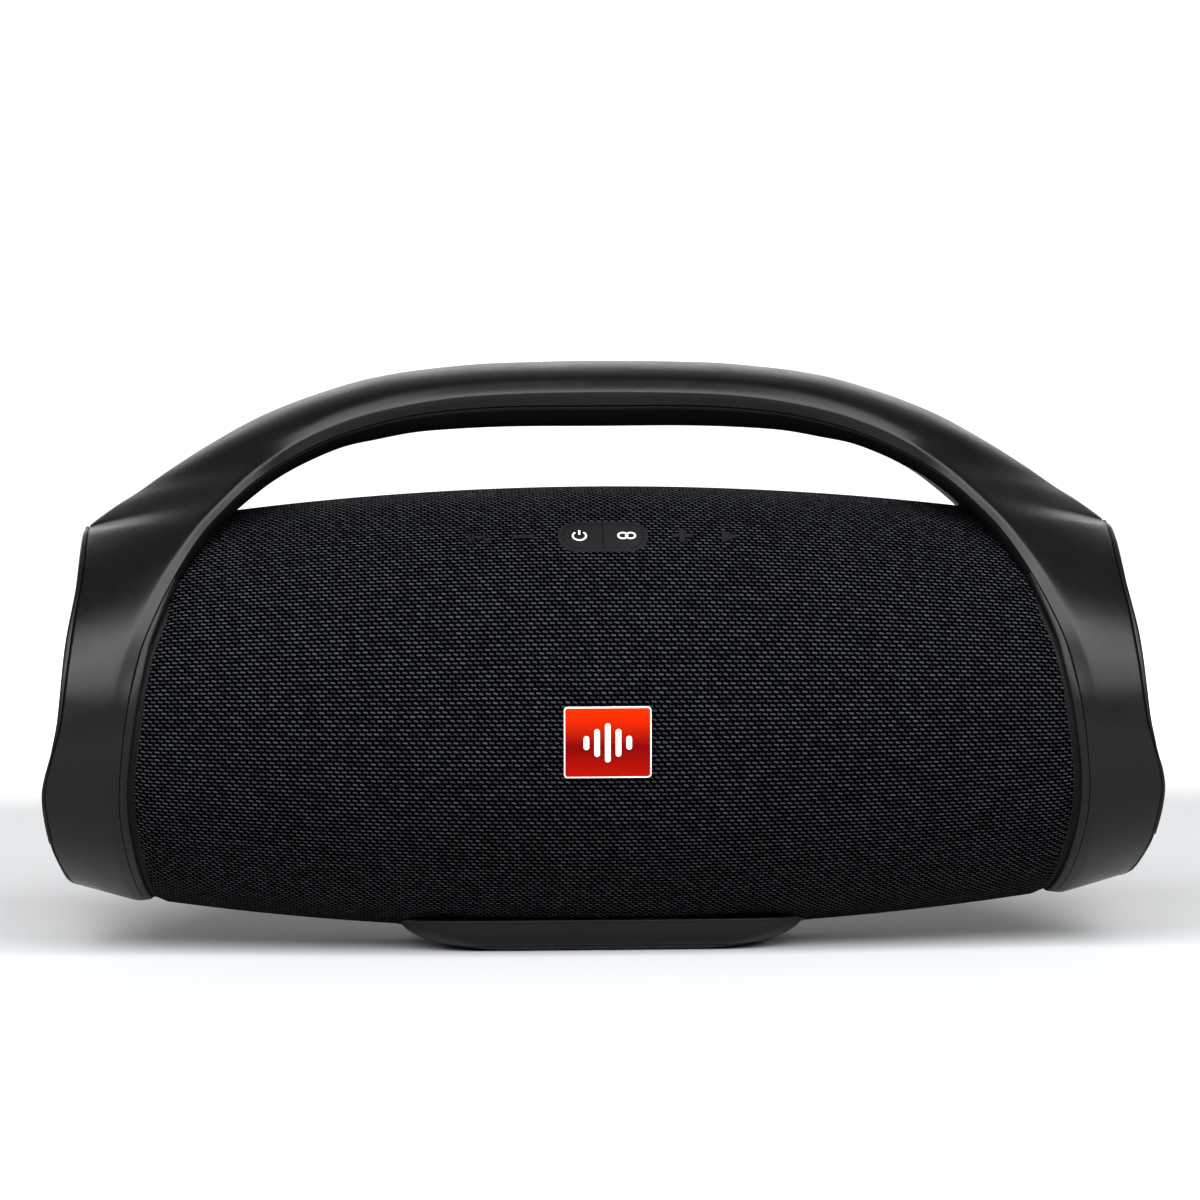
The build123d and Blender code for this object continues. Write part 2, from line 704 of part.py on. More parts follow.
with BuildPart() as badge_rim:
    add(badge_layer(0, 0.15, BADGE_FACE + 0.2))
    add(badge_layer(BADGE_RIM, -2, 4), mode=Mode.SUBTRACT)
finish(badge_rim, "badge_rim")

with BuildPart() as badge_glyph:
    with BuildSketch(radial_plane(BADGE_ANGLE, 0, BARREL_RADIUS - 5)):
        for step, height in zip(range(-2, 3), (6, 12, 17, 12, 6)):
            with Locations((4.6 * step, 0)):
                SlotOverall(height, 2.4, rotation=90)
    extrude(amount=14)
    add(barrel(-BADGE_FACE - 0.4, 60), mode=Mode.INTERSECT)
    add(barrel(-BADGE_FACE - 0.05, 60), mode=Mode.SUBTRACT)
finish(badge_glyph, "badge_glyph")

# ---- rear connector tray and its flap ------------------------------------------
HINGE_DROP = DOOR_HEIGHT / 2 + 2.6  # hinge axis below the barrel's axis
HINGE_Y = 95.2
KNUCKLE = 1.5
KNUCKLE_PLACES = (-38.0, 38.0)
HINGE_PLANE = Plane((0, HINGE_Y, AXIS_Z - HINGE_DROP), x_dir=(0, 1, 0), z_dir=(1, 0, 0))

# Places on the tray's floor, seen from behind.
DC_PLACE = (-42, 0)
AUX_PLACE = (42, 0)
USB_PLACES = ((-13.5, 8), (-13.5, -8))
SERVICE_PLACE = (16, 8)
TONE_PLACE = (16, -8)

# Rebate that the flap closes into.
with BuildPart() as rebate:
    with BuildSketch(rear_plane(60)):
        RectangleRounded(DOOR_WIDTH + 0.8, DOOR_HEIGHT + 0.8, 6.4)
    extrude(amount=60)
    add(barrel(2.8, 120), mode=Mode.SUBTRACT)

with BuildPart() as port_tray:
    with BuildSketch(rear_plane(TRAY_FLOOR - 2)):
        RectangleRounded(DOOR_WIDTH + 8.6, DOOR_HEIGHT + 12.6, 8.8)
    extrude(amount=40)
    add(barrel(0, 120), mode=Mode.INTERSECT)
    with BuildSketch(rear_plane(TRAY_FLOOR)):
        RectangleRounded(DOOR_WIDTH - 5, DOOR_HEIGHT - 5, 4)
    extrude(amount=40, mode=Mode.SUBTRACT)
    add(rebate.part, mode=Mode.SUBTRACT)
    # Slots for the flap's hinge knuckles, open to the outside.
    for x in KNUCKLE_PLACES:
        with BuildSketch(HINGE_PLANE.offset(x - 5.5)):
            Circle(KNUCKLE + 0.5)
            with Locations((5, 1.2)):
                Rectangle(10, 4 * KNUCKLE)
            with Locations((0.2, 2.5)):
                Rectangle(4.6, 5)
        extrude(amount=11, mode=Mode.SUBTRACT)
    # Windows for the sockets and the tone key.
    with BuildSketch(rear_plane(TRAY_FLOOR - 6)):
        with Locations(DC_PLACE, AUX_PLACE):
            Circle(5.2)
        with Locations(*USB_PLACES):
            Rectangle(14.8, 7.6)
        with Locations(SERVICE_PLACE):
            Rectangle(9.0, 4.2)
        with Locations(TONE_PLACE):
            Circle(3.4)
    extrude(amount=12, mode=Mode.SUBTRACT)
finish(port_tray, "port_tray")

with BuildPart() as port_door:
    with BuildSketch(rear_plane(60)):
        RectangleRounded(DOOR_WIDTH, DOOR_HEIGHT, 6)
    extrude(amount=60)
    add(barrel(0.1, 120), mode=Mode.INTERSECT)
    add(barrel(2.4, 120), mode=Mode.SUBTRACT)
    for x in KNUCKLE_PLACES:
        with BuildSketch(HINGE_PLANE.offset(x - 5)):
            Circle(KNUCKLE)
            with Locations((0.45, 2.0)):
                Rectangle(1.6, 4.0)
        extrude(amount=10)
finish(port_door, "port_door")

SOCKET_BASE = 63.8
SOCKET_LENGTH = TRAY_FLOOR - SOCKET_BASE
with BuildPart() as port_board:
    with BuildSketch(rear_plane(SOCKET_BASE - 0.2 - BOARD)):
        RectangleRounded(106, 40, 3)
    extrude(amount=BOARD)
finish(port_board, "port_board")

with BuildPart() as dc_socket:
    with BuildSketch(rear_plane(SOCKET_BASE)):
        with Locations(DC_PLACE):
            Circle(4.9)
    extrude(amount=SOCKET_LENGTH)
    with BuildSketch(rear_plane(SOCKET_BASE + 3)):
        with Locations(DC_PLACE):
            Circle(3.0)
            Circle(1.0, mode=Mode.SUBTRACT)
    extrude(amount=20, mode=Mode.SUBTRACT)
finish(dc_socket, "dc_socket")

with BuildPart() as aux_socket:
    with BuildSketch(rear_plane(SOCKET_BASE)):
        with Locations(AUX_PLACE):
            Circle(4.9)
            Circle(1.8, mode=Mode.SUBTRACT)
    extrude(amount=SOCKET_LENGTH)
finish(aux_socket, "aux_socket")

with BuildPart() as usb_sockets:
    with BuildSketch(rear_plane(SOCKET_BASE)):
        with Locations(*USB_PLACES):
            Rectangle(14.4, 7.2)
    extrude(amount=SOCKET_LENGTH)
    with BuildSketch(rear_plane(SOCKET_BASE + 2)):
        with Locations(*USB_PLACES):
            Rectangle(12.6, 5.2)
        with Locations(*[(x, y + 1.3) for x, y in USB_PLACES]):
            Rectangle(11.2, 1.8, mode=Mode.SUBTRACT)
    extrude(amount=20, mode=Mode.SUBTRACT)
finish(usb_sockets, "usb_sockets")

with BuildPart() as service_socket:
    with BuildSketch(rear_plane(SOCKET_BASE)):
        with Locations(SERVICE_PLACE):
            Rectangle(8.6, 3.8)
    extrude(amount=SOCKET_LENGTH)
    with BuildSketch(rear_plane(SOCKET_BASE + 2)):
        with Locations(SERVICE_PLACE):
            Rectangle(7.4, 2.6)
            Rectangle(5.2, 0.8, mode=Mode.SUBTRACT)
    extrude(amount=20, mode=Mode.SUBTRACT)
finish(service_socket, "service_socket")

with BuildPart() as tone_button:
    with BuildSketch(rear_plane(SOCKET_BASE + 1.2)):
        with Locations(TONE_PLACE):
            Circle(3.0)
    extrude(amount=SOCKET_LENGTH)
    fillet(tone_button.edges().sort_by(Axis.Y)[-1], 0.8)
finish(tone_button, "tone_button")

# ---- electronics and power -----------------------------------------------------
CELL_RADIUS = 9.2
PACK_Y = 8.0
PACK_DROP = 64.0  # pack's middle below the barrel's axis
with BuildPart() as battery_pack:
    with BuildSketch(Plane((-66, PACK_Y, AXIS_Z - PACK_DROP), x_dir=(0, 1, 0), z_dir=(1, 0, 0))):
        with GridLocations(2 * CELL_RADIUS - 0.4, 2 * CELL_RADIUS - 0.4, 2, 2):
            Circle(CELL_RADIUS)
        Rectangle(2 * CELL_RADIUS, 2 * CELL_RADIUS)
    extrude(amount=132)
finish(battery_pack, "battery_pack")

with BuildPart() as battery_bracket:
    with BuildSketch(Plane((-69, PACK_Y, AXIS_Z - PACK_DROP), x_dir=(0, 1, 0), z_dir=(1, 0, 0))):
        Rectangle(43, 41)
        Rectangle(38.6, 37.6, mode=Mode.SUBTRACT)
    extrude(amount=138)
    with BuildSketch(Plane.XY.offset(AXIS_Z - 50)):
        with Locations((0, PACK_Y)):
            Rectangle(108, 70)
    extrude(amount=20, mode=Mode.SUBTRACT)
finish(battery_bracket, "battery_bracket")

MAIN_BOARD_Y = 46.0
with BuildPart() as main_board:
    with BuildSketch(rear_plane(MAIN_BOARD_Y)):
        with Locations((0, 32)):
            RectangleRounded(136, 62, 3)
            with GridLocations(126, 52, 2, 2):
                Circle(1.7, mode=Mode.SUBTRACT)
    extrude(amount=BOARD)
    with BuildSketch(rear_plane(MAIN_BOARD_Y)):
        with Locations((-30, 36), (12, 40)):
            Rectangle(20, 20)
        with Locations((44, 26), (50, 46)):
            Rectangle(12, 12)
    extrude(amount=-3)
    with BuildSketch(rear_plane(MAIN_BOARD_Y)):
        with Locations((-56, 20), (-56, 32), (-44, 14), (30, 12)):
            Circle(5)
    extrude(amount=-14)
finish(main_board, "main_board")


def lead(points, radii, thickness):
    """A round lead along straight runs joined by tangent arcs."""
    with BuildPart() as block:
        with BuildLine() as route:
            FilletPolyline(*points, radius=radii)
        with BuildSketch(Plane(origin=route.line @ 0, z_dir=route.line % 0)):
            Circle(thickness / 2)
        sweep()
    return block.part


with BuildPart() as speaker_leads:
    for side in SIDES.values():
        start = Vector(side * 62, 43, AXIS_Z + 12)
        add(
            lead(
                [
                    start, start + Vector(0, -9, -1), (side * 70, 22, AXIS_Z + 2),
                    (side * 82, 15, AXIS_Z + 5), (side * 86, 13.8, AXIS_Z + 12),
                ],
                [5, 5, 3],
                2.4,
            )
        )
finish(speaker_leads, "speaker_leads")

with BuildPart() as battery_lead:
    add(
        lead(
            [
                (-30, 20, AXIS_Z - 44.5), (-31, 24, AXIS_Z - 30), (-38, 36, AXIS_Z - 18),
                (-44, 43, AXIS_Z - 8), (-45, 44, AXIS_Z + 3),
            ],
            [8, 8, 6],
            3.0,
        )
    )
finish(battery_lead, "battery_lead")

# ---- foot ----------------------------------------------------------------------
FOOT_SECTIONS = (
    (0, 106, 66), (0.9, 130, 71), (SOLE, 148, 76), (6.5, 166, 82), (FOOT_TOP, 180, 88), (26, 180, 88),
)
with BuildPart() as foot_blank:
    for height, length, width in FOOT_SECTIONS:
        with BuildSketch(Plane.XY.offset(height)):
            RectangleRounded(length, width, 0.34 * width)
    loft(ruled=True)
    add(clearance, mode=Mode.SUBTRACT)

with BuildPart() as foot:
    add(foot_blank.part)
    with BuildSketch(Plane.XY.offset(-5)):
        Rectangle(300, 200)
    extrude(amount=5 + SOLE + SEAM, mode=Mode.SUBTRACT)
    with BuildSketch(Plane.XY):
        with Locations(*FOOT_SCREWS):
            Circle(SCREW + 0.2)
    extrude(amount=30, mode=Mode.SUBTRACT)
    with BuildSketch(Plane.XY):
        with Locations(*FOOT_SCREWS):
            Circle(SCREW_HEAD + 0.4)
    extrude(amount=SOLE + 2.6, mode=Mode.SUBTRACT)
finish(foot, "foot")

with BuildPart() as foot_pad:
    add(foot_blank.part)
    with BuildSketch(Plane.XY.offset(SOLE)):
        Rectangle(300, 200)
    extrude(amount=60, mode=Mode.SUBTRACT)
finish(foot_pad, "foot_pad")

with BuildPart() as foot_screws:
    for radius, start, length in ((SCREW, SOLE + 0.6, 13), (SCREW_HEAD, SOLE + 0.5, 1.8)):
        with BuildSketch(Plane.XY.offset(start)):
            with Locations(*FOOT_SCREWS):
                Circle(radius)
        extrude(amount=length)
finish(foot_screws, "foot_screws")
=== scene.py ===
"""Looks of a portable bluetooth speaker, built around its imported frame.

Lengths are in millimetres until a mesh is made.
"""
import math

import bmesh
import bpy
import numpy as np
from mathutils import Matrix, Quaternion, Vector


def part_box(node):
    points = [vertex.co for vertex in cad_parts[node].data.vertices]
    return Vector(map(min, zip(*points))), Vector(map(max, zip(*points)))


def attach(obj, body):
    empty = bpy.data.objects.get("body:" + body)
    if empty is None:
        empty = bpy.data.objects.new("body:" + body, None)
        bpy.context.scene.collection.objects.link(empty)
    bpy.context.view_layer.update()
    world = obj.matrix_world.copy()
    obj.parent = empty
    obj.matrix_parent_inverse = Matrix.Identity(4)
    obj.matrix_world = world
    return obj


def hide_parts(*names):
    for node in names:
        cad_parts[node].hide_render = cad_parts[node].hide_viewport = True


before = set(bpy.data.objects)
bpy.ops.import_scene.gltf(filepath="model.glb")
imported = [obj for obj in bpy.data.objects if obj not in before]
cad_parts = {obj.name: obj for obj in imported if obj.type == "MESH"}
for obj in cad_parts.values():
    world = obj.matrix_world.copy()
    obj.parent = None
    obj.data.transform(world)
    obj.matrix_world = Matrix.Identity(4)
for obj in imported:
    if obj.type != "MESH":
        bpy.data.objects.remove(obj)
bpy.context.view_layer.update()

MM = 0.001
cloth_low, cloth_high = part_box("speaker_cloth")
AXIS_Z = (cloth_low.z + cloth_high.z) / 2 / MM
BARREL = (cloth_high.z - cloth_low.z) / 2 / MM
CROWN_X = 200.0
CROWN_DROP = 14.8
CROWN_ARC = (CROWN_X**2 + CROWN_DROP**2) / (2 * CROWN_DROP)
KEY_ANGLE = 54.0


# ---- materials -----------------------------------------------------------------
class Look:
    """A material and short names for building its nodes."""

    def __init__(self, name, roughness, metallic=0.0, specular=0.5):
        self.material = bpy.data.materials.new(name)
        self.material.use_nodes = True
        self.tree = self.material.node_tree
        self.shader = self.tree.nodes["Principled BSDF"]
        self.set("Roughness", roughness)
        self.set("Metallic", metallic)
        self.set("Specular IOR Level", specular)
        self.place = self.node("ShaderNodeTexCoord").outputs["Object"]

    def node(self, kind, **settings):
        made = self.tree.nodes.new(kind)
        for key, value in settings.items():
            setattr(made, key, value)
        return made

    def put(self, value, socket):
        if isinstance(value, bpy.types.NodeSocket):
            self.tree.links.new(value, socket)
        else:
            socket.default_value = value

    def set(self, name, value):
        if name == "Base Color" and not isinstance(value, bpy.types.NodeSocket):
            value = (*value, 1.0)
        self.put(value, self.shader.inputs[name])

    def math(self, operation, *values):
        made = self.node("ShaderNodeMath", operation=operation)
        for value, socket in zip(values, made.inputs):
            self.put(value, socket)
        return made.outputs[0]

    def noise(self, scale, detail=3.0, rough=0.5, place=None):
        made = self.node("ShaderNodeTexNoise")
        self.put(place or self.place, made.inputs["Vector"])
        self.put(scale, made.inputs["Scale"])
        self.put(detail, made.inputs["Detail"])
        self.put(rough, made.inputs["Roughness"])
        return made.outputs["Fac"]

    def span(self, value, low, high, to_low=0.0, to_high=1.0):
        made = self.node("ShaderNodeMapRange")
        for item, socket in zip((value, low, high, to_low, to_high), made.inputs):
            self.put(item, socket)
        return made.outputs[0]

    def blend(self, factor, first, second):
        made = self.node("ShaderNodeMix", data_type="RGBA")
        self.put(factor, made.inputs[0])
        self.put(first if isinstance(first, bpy.types.NodeSocket) else (*first, 1.0), made.inputs[6])
        self.put(second if isinstance(second, bpy.types.NodeSocket) else (*second, 1.0), made.inputs[7])
        return made.outputs[2]

    def bump(self, height, distance, strength=1.0, under=None):
        made = self.node("ShaderNodeBump")
        self.put(strength, made.inputs["Strength"])
        self.put(distance, made.inputs["Distance"])
        self.put(height, made.inputs["Height"])
        if under:
            self.put(under, made.inputs["Normal"])
        return made.outputs["Normal"]


def moulded(name, dark, light, roughness, grain=1500.0, depth=0.00006, specular=0.2, coat=0.0):
    """Moulded plastic or rubber: fine grain, slow colour drift and uneven gloss."""
    look = Look(name, roughness, specular=specular)
    drift = look.noise(18.0, detail=2.0)
    speck = look.noise(grain, detail=2.0, rough=0.6)
    wear = look.noise(55.0, detail=6.0, rough=0.7)
    look.set("Base Color", look.blend(look.span(drift, 0.3, 0.7), dark, light))
    look.set("Roughness", look.span(wear, 0.3, 0.75, roughness - 0.05, roughness + 0.07))
    look.set("Normal", look.bump(speck, depth))
    if coat:
        look.set("Coat Weight", coat)
        look.set("Coat Roughness", 0.25)
    return look.material


def metal(name, dark, light, roughness, scale=900.0, metallic=1.0):
    """Worked metal with a fine, slightly uneven finish."""
    look = Look(name, roughness, metallic=metallic)
    fine = look.noise(scale, detail=3.0, rough=0.65)
    broad = look.noise(40.0, detail=3.0)
    look.set("Base Color", look.blend(broad, dark, light))
    look.set("Roughness", look.span(fine, 0.3, 0.7, roughness - 0.07, roughness + 0.1))
    look.set("Normal", look.bump(fine, 0.00003))
    return look.material


# Whole cells added to a place in the weave so that its fraction is taken above zero.
ABOVE_ZERO = 1000.0


def cloth_look():
    """Coarse staggered weave: short bright floats in rows along the barrel, over a ground darkened by
    painted shade where the weave lies low.
    """
    look = Look("woven_cloth_painted_shade_look", 0.62, specular=0.06)
    uv = look.node("ShaderNodeUVMap", uv_map="weave").outputs["UV"]
    split = look.node("ShaderNodeSeparateXYZ")
    look.put(uv, split.inputs[0])
    along, round_ = split.outputs[0], split.outputs[1]

    def centred(place):
        """Where a place lies in its cell, from -0.5 to 0.5."""
        return look.math("SUBTRACT", look.math("FRACT", look.math("ADD", place, ABOVE_ZERO)), 0.5)

    wander = look.math("MULTIPLY", look.math("SUBTRACT", look.noise(420.0, detail=1.0), 0.5), 0.22)
    row = look.math("ADD", round_, wander)
    row_number = look.math("FLOOR", row)
    odd = look.math("MULTIPLY", look.math("MODULO", look.math("ABSOLUTE", row_number), 2.0), 0.5)
    column = look.math("ADD", look.math("ADD", along, odd), wander)
    across = centred(column)
    up = centred(row)
    tilted = look.math("ADD", up, look.math("MULTIPLY", across, 0.28))
    width = look.math("POWER", look.math("ABSOLUTE", look.math("DIVIDE", across, 0.40)), 3.0)
    height = look.math("POWER", look.math("ABSOLUTE", look.math("DIVIDE", tilted, 0.25)), 2.0)
    room = look.math("SUBTRACT", 1.0, look.math("ADD", width, height))
    float_up = look.math("SQRT", look.math("MAXIMUM", room, 0.0))
    warp_place = centred(look.math("MULTIPLY", column, 2.0))
    warp = look.math("MULTIPLY", look.math("SUBTRACT", 0.5, look.math("ABSOLUTE", warp_place)), 0.55)
    relief = look.math("MAXIMUM", float_up, warp)
    fibre = look.noise(2600.0, detail=2.0, rough=0.7)
    relief = look.math("ADD", relief, look.math("MULTIPLY", fibre, 0.18))
    each = look.node("ShaderNodeTexWhiteNoise", noise_dimensions="2D")
    cell = look.node("ShaderNodeCombineXYZ")
    look.put(look.math("FLOOR", column), cell.inputs[0])
    look.put(row_number, cell.inputs[1])
    look.put(cell.outputs[0], each.inputs["Vector"])
    yarn = look.blend(each.outputs["Value"], (0.011, 0.012, 0.0138), (0.036, 0.038, 0.043))
    # Painted shade: the ground is near black, darkest where the weave lies lowest and a little lighter
    # over the warp.
    ground = look.blend(look.span(warp, 0.0, 0.28), (0.0001, 0.0001, 0.0001), (0.001, 0.0011, 0.0014))
    # The colour follows the relief, running from the painted-shade ground up to the yarn as each float
    # rises.
    look.set("Base Color", look.blend(look.span(float_up, 0.15, 0.75), ground, yarn))
    look.set("Specular IOR Level", look.span(float_up, 0.2, 0.8, 0.0, 0.05))
    look.set("Normal", look.bump(relief, 0.00042))
    return look.material


def board_look():
    look = Look("circuit_board_look", 0.4)
    tracks = look.node("ShaderNodeTexBrick")
    look.put(look.place, tracks.inputs["Vector"])
    look.put(260.0, tracks.inputs["Scale"])
    look.put((0.008, 0.05, 0.022, 1), tracks.inputs["Color1"])
    look.put((0.012, 0.07, 0.03, 1), tracks.inputs["Color2"])
    look.put((0.03, 0.12, 0.05, 1), tracks.inputs["Mortar"])
    look.set("Base Color", tracks.outputs["Color"])
    look.set("Normal", look.bump(tracks.outputs["Fac"], 0.00005))
    return look.material


def badge_look():
    """Lacquered orange-red plate with painted light by height: a painted highlight towards its top edge,
    lighter again towards its bottom edge, and deeper across its middle as painted shade.
    """
    look = Look("badge_red_painted_light_look", 0.24, specular=0.03)
    low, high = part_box("badge_plate")
    split = look.node("ShaderNodeSeparateXYZ")
    look.put(look.place, split.inputs[0])
    drift = look.math("MULTIPLY", look.math("SUBTRACT", look.noise(60.0, detail=2.0), 0.5), 0.003)
    up = look.span(look.math("ADD", split.outputs[2], drift), low.z, high.z)
    # Painted light by height: lighter towards the bottom edge, deepest across the middle, lightest towards
    # the top edge.
    lower_painted_light = look.blend(look.span(up, 0.0, 0.4), (0.27, 0.0030, 0.0003), (0.125, 0.0004, 0.0002))
    look.set("Base Color", look.blend(look.span(up, 0.45, 1.0), lower_painted_light, (0.50, 0.0145, 0.0003)))
    look.set("Normal", look.bump(look.noise(2400.0), 0.00001))
    return look.material


LOOKS = {
    "soft_touch": moulded(
        "soft_touch_look", (0.0022, 0.0022, 0.0023), (0.0034, 0.0033, 0.0032), 0.30, grain=1700.0
    ),
    "matte_black": moulded(
        "matte_black_look", (0.002, 0.002, 0.0021), (0.003, 0.003, 0.0031), 0.38, grain=1300.0
    ),
    "woven_cloth": cloth_look(),
    "inner_plastic": moulded(
        "inner_plastic_look", (0.0015, 0.0015, 0.0015), (0.0025, 0.0025, 0.0025), 0.7, specular=0.15
    ),
    "black_rubber": moulded(
        "black_rubber_look", (0.004, 0.0041, 0.0043), (0.006, 0.006, 0.0062), 0.5,
        grain=900.0, specular=0.18,
    ),
    "disc_metal": metal(
        "disc_metal_look", (0.030, 0.030, 0.031), (0.042, 0.042, 0.043), 0.42, metallic=0.6
    ),
    "cone": moulded(
        "cone_look", (0.014, 0.014, 0.015), (0.024, 0.024, 0.025), 0.6, grain=700.0, depth=0.0001
    ),
    "magnet_steel": metal("magnet_steel_look", (0.25, 0.25, 0.26), (0.36, 0.36, 0.37), 0.4),
    "tweeter_plastic": moulded("tweeter_plastic_look", (0.014, 0.014, 0.014), (0.02, 0.02, 0.02), 0.4),
    "screw_steel": metal("screw_steel_look", (0.10, 0.10, 0.105), (0.16, 0.16, 0.165), 0.35),
    "socket_black": moulded(
        "socket_black_look", (0.008, 0.008, 0.008), (0.012, 0.012, 0.012), 0.35, grain=2200.0
    ),
    "circuit_board": board_look(),
    "battery_wrap": moulded(
        "battery_wrap_look", (0.02, 0.05, 0.14), (0.025, 0.06, 0.17), 0.3, coat=0.3
    ),
    "lead_sleeve": moulded("lead_sleeve_look", (0.02, 0.02, 0.02), (0.03, 0.03, 0.03), 0.45),
    "badge_red": badge_look(),
    "badge_pale": moulded(
        "badge_pale_look", (0.74, 0.66, 0.64), (0.82, 0.76, 0.74), 0.34, grain=2600.0, depth=0.00001
    ),
}
PRINT = moulded(
    "white_print_look", (0.78, 0.78, 0.78), (0.86, 0.86, 0.85), 0.5, grain=2600.0, depth=0.00002
)
# Painted shade: a darker, duller copy of the black, for flanges seen only in the shade of the seam and for
# lip skin under the cloth.
GAP_PAINTED_SHADE = moulded(
    "gap_painted_shade_look", (0.0016, 0.0016, 0.0016), (0.0026, 0.0026, 0.0026), 0.75, specular=0.1
)
# Painted shade: a darker copy of the matte black, standing in for the shade that falls on the grip under
# the handle.
GRIP_PAINTED_SHADE = moulded(
    "grip_painted_shade_look", (0.0008, 0.0008, 0.0008), (0.0014, 0.0014, 0.0014), 0.6, specular=0.05
)

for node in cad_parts.values():
    for index, material in enumerate(node.data.materials):
        slot = material.name.split(".")[0]
        if slot in LOOKS:
            node.data.materials[index] = LOOKS[slot]
        else:
            print("no look for", node.name, material.name)


# ---- shared geometry -----------------------------------------------------------
def barrel_radius(x):
    """Radius over the cloth at a distance x from mid-width."""
    return BARREL - CROWN_ARC + np.sqrt(CROWN_ARC**2 - np.square(x))


def cubic(at, rows, where):
    """Smooth curve through rows of numbers given at positions, sampled elsewhere."""
    steps = np.diff(at)
    count = len(at)
    system = np.eye(count)
    known = np.zeros(rows.shape)
    for i in range(1, count - 1):
        system[i, i - 1 : i + 2] = steps[i - 1], 2 * (steps[i - 1] + steps[i]), steps[i]
        known[i] = 6 * ((rows[i + 1] - rows[i]) / steps[i] - (rows[i] - rows[i - 1]) / steps[i - 1])
    bend = np.linalg.solve(system, known)
    k = np.clip(np.searchsorted(at, where, side="right") - 1, 0, count - 2)
    wide = steps[k][:, None]
    a = (at[k + 1] - where)[:, None] / wide
    b = 1 - a
    return a * rows[k] + b * rows[k + 1] + ((a**3 - a) * bend[k] + (b**3 - b) * bend[k + 1]) * wide**2 / 6


def unswerving(at, rows, where):
    """Like cubic, but never swinging past the given rows."""
    steps = np.diff(at)[:, None]
    slope = np.diff(rows, axis=0) / steps
    tangent = np.zeros(rows.shape)
    before, after = slope[:-1], slope[1:]
    same = before * after > 0
    w1, w2 = 2 * steps[1:] + steps[:-1], steps[1:] + 2 * steps[:-1]
    safe_before, safe_after = np.where(same, before, 1), np.where(same, after, 1)
    tangent[1:-1] = np.where(same, (w1 + w2) / (w1 / safe_before + w2 / safe_after), 0)
    tangent[0], tangent[-1] = slope[0], slope[-1]
    k = np.clip(np.searchsorted(at, where, side="right") - 1, 0, len(at) - 2)
    wide = steps[k]
    t = ((where - at[k])[:, None]) / wide
    return (
        (2 * t**3 - 3 * t**2 + 1) * rows[k] + (t**3 - 2 * t**2 + t) * wide * tangent[k]
        + (3 * t**2 - 2 * t**3) * rows[k + 1] + (t**3 - t**2) * wide * tangent[k + 1]
    )


def sampled(curve, places, values, where):
    """One number per wanted place, on a curve through one number per given place."""
    return curve(np.array(places, float), np.array(values, float)[:, None], np.atleast_1d(where))[:, 0]


def bezier(a, b, c, t):
    return (1 - t) ** 2 * a + 2 * t * (1 - t) * b + t**2 * c


def unit(v):
    return v / np.linalg.norm(v)


def shown(name, verts, faces, body, slot, material=None, replaces=(), smooth=True):
    """Make a piece from points in millimetres about the barrel's axis."""
    mesh = bpy.data.meshes.new(name)
    points = np.array(verts, float) * MM
    points[:, 2] += AXIS_Z * MM
    mesh.from_pydata(points.tolist(), [], faces)
    mesh.update()
    piece = bpy.data.objects.new(name, mesh)
    bpy.context.scene.collection.objects.link(piece)
    mesh.materials.append(material or LOOKS[slot])
    for face in mesh.polygons:
        face.use_smooth = smooth
    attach(piece, body)
    if replaces:
        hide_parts(*replaces)
    return piece


def settle(piece):
    """Turn the piece's modifiers into plain mesh."""
    graph = bpy.context.evaluated_depsgraph_get()
    final = bpy.data.meshes.new_from_object(piece.evaluated_get(graph))
    piece.modifiers.clear()
    piece.data = final
    return piece


def mirrored(grid, sides, depths):
    """Vertices and faces of a quarter's grid, repeated on the given sides and depths."""
    rows, columns = grid.shape[:2]
    verts, faces = [], []
    for side in sides:
        for deep in depths:
            start = len(verts)
            verts.extend((grid * (side, deep, 1)).reshape(-1, 3).tolist())
            for i in range(rows - 1):
                for j in range(columns - 1):
                    corners = [start + i * columns + j, start + i * columns + j + 1]
                    corners += [corners[1] + columns, corners[0] + columns]
                    faces.append(corners if side * deep > 0 else corners[::-1])
    return verts, faces


def weld(piece, outer_face):
    """Join the mirrored copies into one surface, whose face of that number looks away from the axis."""
    sample = piece.data.polygons[outer_face]
    away = Vector((0, sample.center.y, sample.center.z - AXIS_Z * MM))
    flip = sample.normal.dot(away) < 0
    work = bmesh.new()
    work.from_mesh(piece.data)
    bmesh.ops.remove_doubles(work, verts=work.verts, dist=0.02 * MM)
    bmesh.ops.dissolve_degenerate(work, edges=work.edges, dist=0.004 * MM)
    if flip:
        bmesh.ops.reverse_faces(work, faces=work.faces)
    work.to_mesh(piece.data)
    work.free()
    for face in piece.data.polygons:
        face.use_smooth = True
    return piece


def thicken(piece, depth):
    solid = piece.modifiers.new("wall", "SOLIDIFY")
    solid.thickness = depth * MM
    solid.offset = -1
    solid.use_even_offset = False
    return settle(piece)


